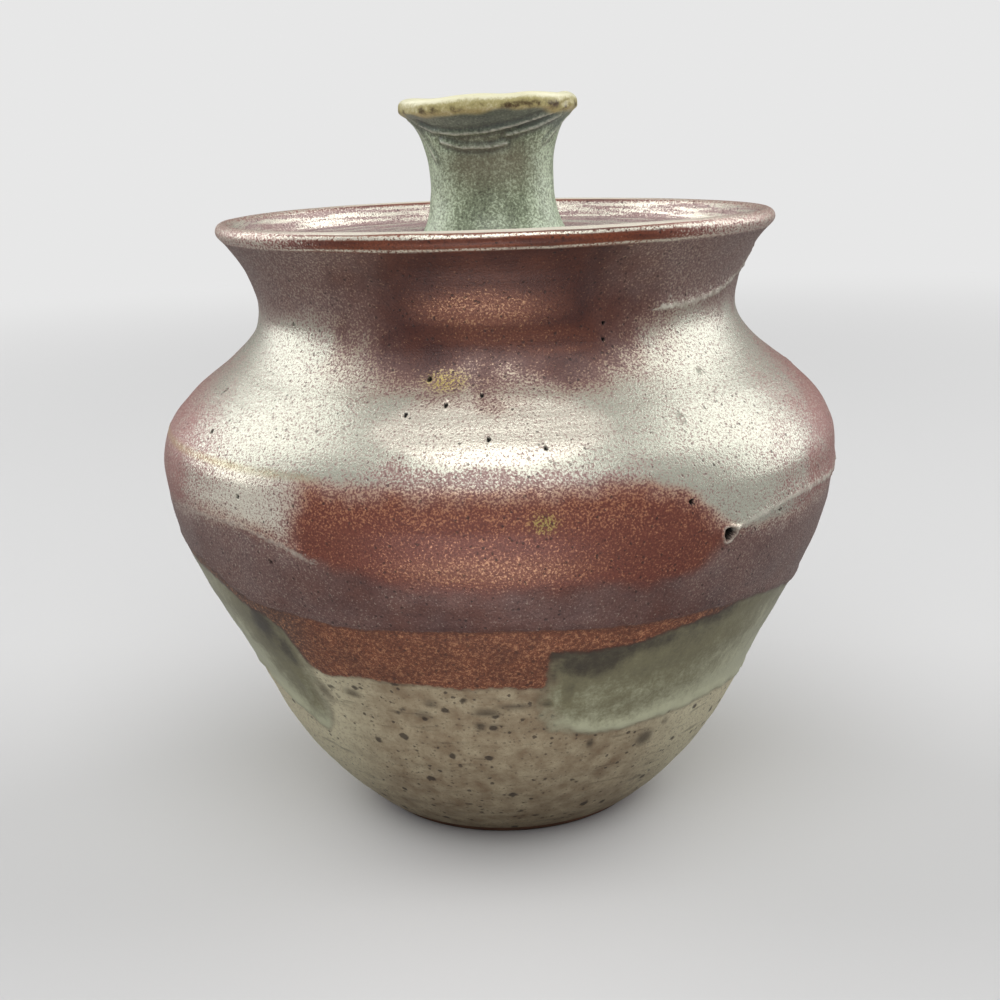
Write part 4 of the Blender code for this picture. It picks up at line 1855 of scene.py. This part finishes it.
    def finish(self) -> bpy.types.Material:
        """Lay the jar's glazes and bare clay over each other.

        Returns:
            The jar's one material.
        """
        material, bench = new_material("jar_glazes")
        skin = Skin(bench, self.effects)
        edge = {}
        for name, *look in self.edge_looks:
            values = {"Place": skin.place, "Distance": bench.attribute(name + "_mm")}
            values |= zip(("Wobble", "Pitch", "Blur"), look)
            edge[name] = bench.group(self.effects.edge, **values).outputs
        coat = self.lower_coats(skin, edge)
        coat = laid_over(bench, edge["oxblood"]["Mask"], coat, RedBands(skin, edge).coat())
        # Painted shade: the holes of the blister and the pits are painted near black.
        coat = laid_over(bench, bench.attribute("pit"), coat, self.broken.inside())
        # Pale crust round the blister and along the creases: partly a painted highlight.
        torn = bench.maths("MULTIPLY_ADD", skin.cloud(Cloud(1.1, contrast=3.0)), 0.75, 0.2)
        lip = bench.product(bench.attribute("crust"), torn)
        coat = laid_over(bench, lip, coat, self.broken.crust())
        coat = laid_over(bench, self.crease_highlight_line(skin), coat, self.broken.crust())
        bare = bench.rise(bench.attribute("bare"), 0.35, 0.6)
        fired("jar_glazes", bench, laid_over(bench, bare, coat, BareClay().coat(skin)))
        return material

    def lower_coats(self, skin: Skin, edge: dict) -> Coat:
        """The oatmeal, celadon and rust coats, with the stain below each edge.

        Args:
            skin: The jar's surface.
            edge: Outputs of the glaze edges, by name.

        Returns:
            What shows below the red glaze.
        """
        bench, oatmeal, rust = skin.bench, Oatmeal(), Rust()
        smoke = bench.attribute("smoke")
        pool = bench.maths("SUBTRACT", bench.attribute("pool"), bench.product(smoke, 0.62))
        coat = oatmeal.coat(skin, smoke)
        coat.colour = bench.layered(coat.colour, (edge["celadon"]["Stain"], 0.4, oatmeal.smoke))
        coat = laid_over(bench, edge["celadon"]["Mask"], coat, Celadon().coat(skin, pool))
        strength = bench.blend(edge["celadon"]["Mask"], 0.4, 0.85)
        coat.colour = bench.layered(coat.colour, (edge["rust"]["Stain"], strength, rust.dark))
        coat = laid_over(bench, edge["rust"]["Mask"], coat, rust.coat(skin))
        coat.colour = bench.layered(coat.colour, (edge["oxblood"]["Stain"], 0.4, rust.dark))
        return coat

    def crease_highlight_line(self, skin: Skin) -> Socket:
        """Thin uneven pale line along each crease, with a little grit beside it: a painted highlight on
        the crease's ridge.

        Args:
            skin: The jar's surface.

        Returns:
            The mask, from 0 to 1.
        """
        bench, fray = skin.bench, skin.grain(Grain(1.5, grit=0.7))
        breaks = bench.maths("MULTIPLY_ADD", skin.cloud(Cloud(2.2, contrast=3.0)), 0.7, 0.3)
        off = bench.total(bench.attribute("crease_mm"), bench.product(fray, 0.4))
        line = bench.product(bench.hump(off, 0.0, 1.0), breaks)
        grit = bench.product(bench.rise(fray, 0.55, 0.95), bench.hump(off, 1.2, 3.0), 0.8)
        shown = bench.rise(bench.attribute("crease"), 0.1, 0.8)
        return bench.product(bench.maths("MAXIMUM", line, grit), shown)


@dataclass
class ThrownLid:
    """The lid: a shallow disc with a flange, glazed on top and bare where it sits."""

    wheel: Wheel
    effects: Effects
    node: str = "lid"
    body: BodyName = BodyName.LID
    slot: str = "lid_glaze"
    rows: int = 150
    columns: int = 256
    density: float = 0.8
    spiral_mm: float = 0.16
    spiral_pitch_mm: float = 4.6
    shift_mm: float = 0.3
    mauve: Colour = srgb(188, 158, 156)
    lilac: Colour = srgb(168, 146, 150)

    def build(self) -> bpy.types.Object:
        """Turn, shape and dress the lid.

        Returns:
            The piece.
        """
        outline = Outline.of_node(self.node)
        rows = outline.rows(self.rows, np.full(len(outline.run), self.density))
        piece = self.wheel.turn("thrown_lid", rows, self.columns, self.finish())
        wall = Wall(piece)
        top = smooth_step(wall.normals[:, 2], 0.2, 0.6)
        turns = wall.radius / self.spiral_pitch_mm + wall.azimuth / math.tau
        spiral = top * self.spiral_mm * np.sin(math.tau * turns)
        wall.swell(spiral * smooth_step(wall.radius, 18.0, 22.0))
        wall.shift(0, np.full_like(wall.radius, self.shift_mm))
        wall.keep("bare", 1.0 - smooth_step(wall.normals[:, 2], -0.3, 0.2))
        wall.write()
        return piece

    def finish(self) -> bpy.types.Material:
        """Lay mauve-red glaze on top and leave bare clay below.

        Returns:
            The lid's material.
        """
        material, bench = new_material("lid_glazes")
        skin, red = Skin(bench, self.effects), Oxblood(grain_mm=0.02)
        ground = bench.mix(skin.cloud(Cloud(9.0)), self.mauve, self.lilac)
        rings = skin.rings(Lines(1.3, level=16.0))
        # Cream crystals on the rings paint the lid's highlight streaks.
        cover = bench.blend(bench.rise(rings, -0.3, 0.7), 0.25, 0.98)
        coat = red.coat(skin, ground, red.cream, cover)
        bare = bench.rise(bench.attribute("bare"), 0.4, 0.7)
        fired("lid_glazes", bench, laid_over(bench, bare, coat, BareClay().coat(skin)))
        return material


@dataclass
class ThrownKnob:
    """The knob: a small trumpet with a thick wavy lip, thrown and luted on by hand."""

    wheel: Wheel
    effects: Effects
    node: str = "lid_knob"
    body: BodyName = BodyName.LID
    slot: str = "knob_glaze"
    rows: int = 210
    columns: int = 220
    folds: tuple = (
        ((-62, 163.4), (-50, 161.8), (-28, 161.0), (-6, 161.2), (22, 162.6), (44, 164.6), (60, 166.2)),
        ((-44, 159.4), (-24, 158.0), (2, 158.0), (14, 158.8)),
        ((14, 160.4), (38, 162.0), (62, 164.6)),
    )
    creases: tuple = (((-80, 164.6), (-70, 161.4), (-57, 155.6)), ((84, 164.8), (70, 162.6), (54, 159.0)))
    density: float = 1.0
    waist_radius_mm: float = 16.0
    lip_radius_mm: float = 18.0
    thick_lip_mm: float = 0.75
    start_shift_mm: float = 0.35
    lean_mm: float = 0.9
    lip_tilt_mm: float = 0.5
    lip_drop_mm: float = 0.3
    lip_band_mm: float = 4.1
    green: Celadon = Celadon(
        pale=srgb(196, 212, 184), green=srgb(124, 136, 110), dark=srgb(42, 48, 36),
        roughness=0.40, grain=Grain(0.55, grit=0.6), grain_share=1.5, grain_mm=0.02,
    )
    straw: Celadon = Celadon(
        pale=srgb(242, 238, 202), green=srgb(194, 184, 126), dark=srgb(82, 62, 36),
        roughness=0.34, grain=Grain(0.6, grit=0.6), grain_share=0.6, grain_mm=0.02,
    )
    umber: Colour = srgb(116, 102, 84)
    slate: Colour = srgb(118, 130, 126)
    # Painted shade just below each fold, and a painted highlight along its ridge.
    painted_fold_shade: Colour = srgb(58, 64, 62)
    ridge: Colour = srgb(222, 226, 212)

    def build(self) -> bpy.types.Object:
        """Turn, shape and dress the knob.

        Returns:
            The piece.
        """
        outline = Outline.of_node(self.node)
        rows = outline.rows(self.rows, np.full(len(outline.run), self.density))
        piece = self.wheel.turn("thrown_knob", rows, self.columns, self.finish())
        self.shape(Wall(piece), outline.crest())
        return piece

    def shape(self, wall: Wall, crest: float) -> None:
        """Give the knob its folds, its lean and its wavy lip.

        Args:
            wall: The vertices of the turned knob.
            crest: Distance along the outline to the top of the lip, in mm.
        """
        az, high = wall.azimuth, wall.height
        foot, lip = high.min(), high.max()
        climb = (high - foot) / (lip - foot)
        outside = smooth_step(wall.along - crest, 0.0, 1.5)
        near_lip = smooth_step(climb, 0.7, 1.0)
        wall.swell(self.relief(wall, outside, near_lip))
        thick = outside * self.thick_lip_mm * bell(high - (lip - 3.4), 0.75)
        wall.shift(0, thick * np.sin(az) + self.start_shift_mm - self.lean_mm * climb)
        wall.shift(1, -thick * np.cos(az))
        wave = Wander(23, 14.0, self.lip_radius_mm)(az, 0.0 * high)
        wave = self.lip_tilt_mm * np.sin(az) * wall.radius / 20.0 + 0.22 * wave
        wall.shift(2, near_lip * wave - self.lip_drop_mm * near_lip)
        edge = lip - self.lip_band_mm + 0.5 * wall.waves(24, 5.0, self.lip_radius_mm)
        wall.keep("band", smooth_step(high - edge, -0.5, 0.5))
        front = smooth_step(high, 160.4, 163.0) * smooth_step(np.abs(az), 1.9, 1.0)
        wall.keep("fold", outside * front)
        wall.keep("climb", climb)
        wall.keep("below_lip_mm", lip - high)
        drawn = [stroke_distance(line, wall) for line in self.folds + self.creases]
        wall.keep("fold_mm", np.where(outside > 0.5, np.minimum.reduce(drawn), 9.0))
        wall.write()

    def relief(self, wall: Wall, outside: Field, near_lip: Field) -> Field:
        """How far the knob swells: fingers' unevenness, folds and creases, in mm.

        Args:
            wall: The vertices.
            outside: Where the outside is, from 0 to 1.
            near_lip: How near the lip is, from 0 to 1.

        Returns:
            The swell.
        """
        swell = -0.06 * wall.waves(21, 7.0, self.waist_radius_mm)
        swell -= 0.22 * near_lip * wall.waves(22, 22.0, self.lip_radius_mm)
        for fold in self.folds:
            off = stroke_distance(fold, wall)
            swell += outside * (0.46 * bell(off, 0.32) - 0.40 * bell(off - 1.0, 0.45))
        for crease in self.creases:
            swell += outside * 0.42 * bell(stroke_distance(crease, wall), 0.36)
        return swell

    def finish(self) -> bpy.types.Material:
        """Lay grainy grey-green with a straw-brown lip over it.

        Returns:
            The knob's material.
        """
        material, bench = new_material("knob_glazes")
        skin = Skin(bench, self.effects)
        fold = bench.attribute("fold")
        # Paler towards both sides of the knob: a painted sheen.
        side = skin.aside(5.0, 13.0)
        pool = bench.maths("MULTIPLY_ADD", fold, -0.2, 0.34)
        pool = bench.total(bench.product(skin.cloud(Cloud(6.0)), 0.26), pool)
        coat = self.green.coat(skin, bench.total(pool, bench.product(side, 0.24)))
        middle = bench.product(bench.hump(bench.attribute("climb"), 0.52, 0.3), bench.inverse(side))
        fray = skin.grain(Grain(1.3, grit=0.5))
        off = bench.maths("MULTIPLY_ADD", fray, 0.12, bench.attribute("fold_mm"))
        coat.colour = bench.layered(
            coat.colour,
            (middle, 0.5, self.umber),
            (fold, 0.5, self.slate),
            # Painted shade below each fold line and a painted highlight along it.
            (bench.hump(off, 0.95, 0.8), 0.5, self.painted_fold_shade),
            (bench.hump(off, 0.0, 0.42), 0.75, self.ridge),
        )
        coat = laid_over(bench, bench.attribute("band"), coat, self.lip_coat(skin))
        fired("knob_glazes", bench, coat)
        return material

    def lip_coat(self, skin: Skin) -> Coat:
        """The smeared straw-brown glaze of the lip.

        Args:
            skin: The knob's surface.

        Returns:
            The coat.
        """
        bench = skin.bench
        smear = skin.cloud(Cloud(3.2, contrast=3.0, detail=5.0))
        below = bench.attribute("below_lip_mm")
        # Paler towards the top edge of the lip: a painted highlight.
        edge = bench.product(bench.rise(below, 1.6, 0.3), 0.55)
        smeared = bench.product(bench.hump(below, 2.7, 1.9), bench.rise(smear, 0.25, 0.95), -0.75)
        pool = bench.total(edge, smeared, bench.product(smear, 0.2), 0.46)
        return self.straw.coat(skin, pool)


def main() -> None:
    """Build the studio and every piece of the jar, in order."""
    logging.basicConfig(level=logging.INFO, format="%(name)s: %(message)s")
    Studio().build()
    wheel, effects = Wheel(), Effects()
    for part in (ThrownJar(wheel, effects), ThrownLid(wheel, effects), ThrownKnob(wheel, effects)):
        piece = part.build()
        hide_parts(part.node)
        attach(piece, part.body.value)
        LOG.info("%s: %d faces", piece.name, len(piece.data.polygons))


if __name__ == "__main__":
    main()
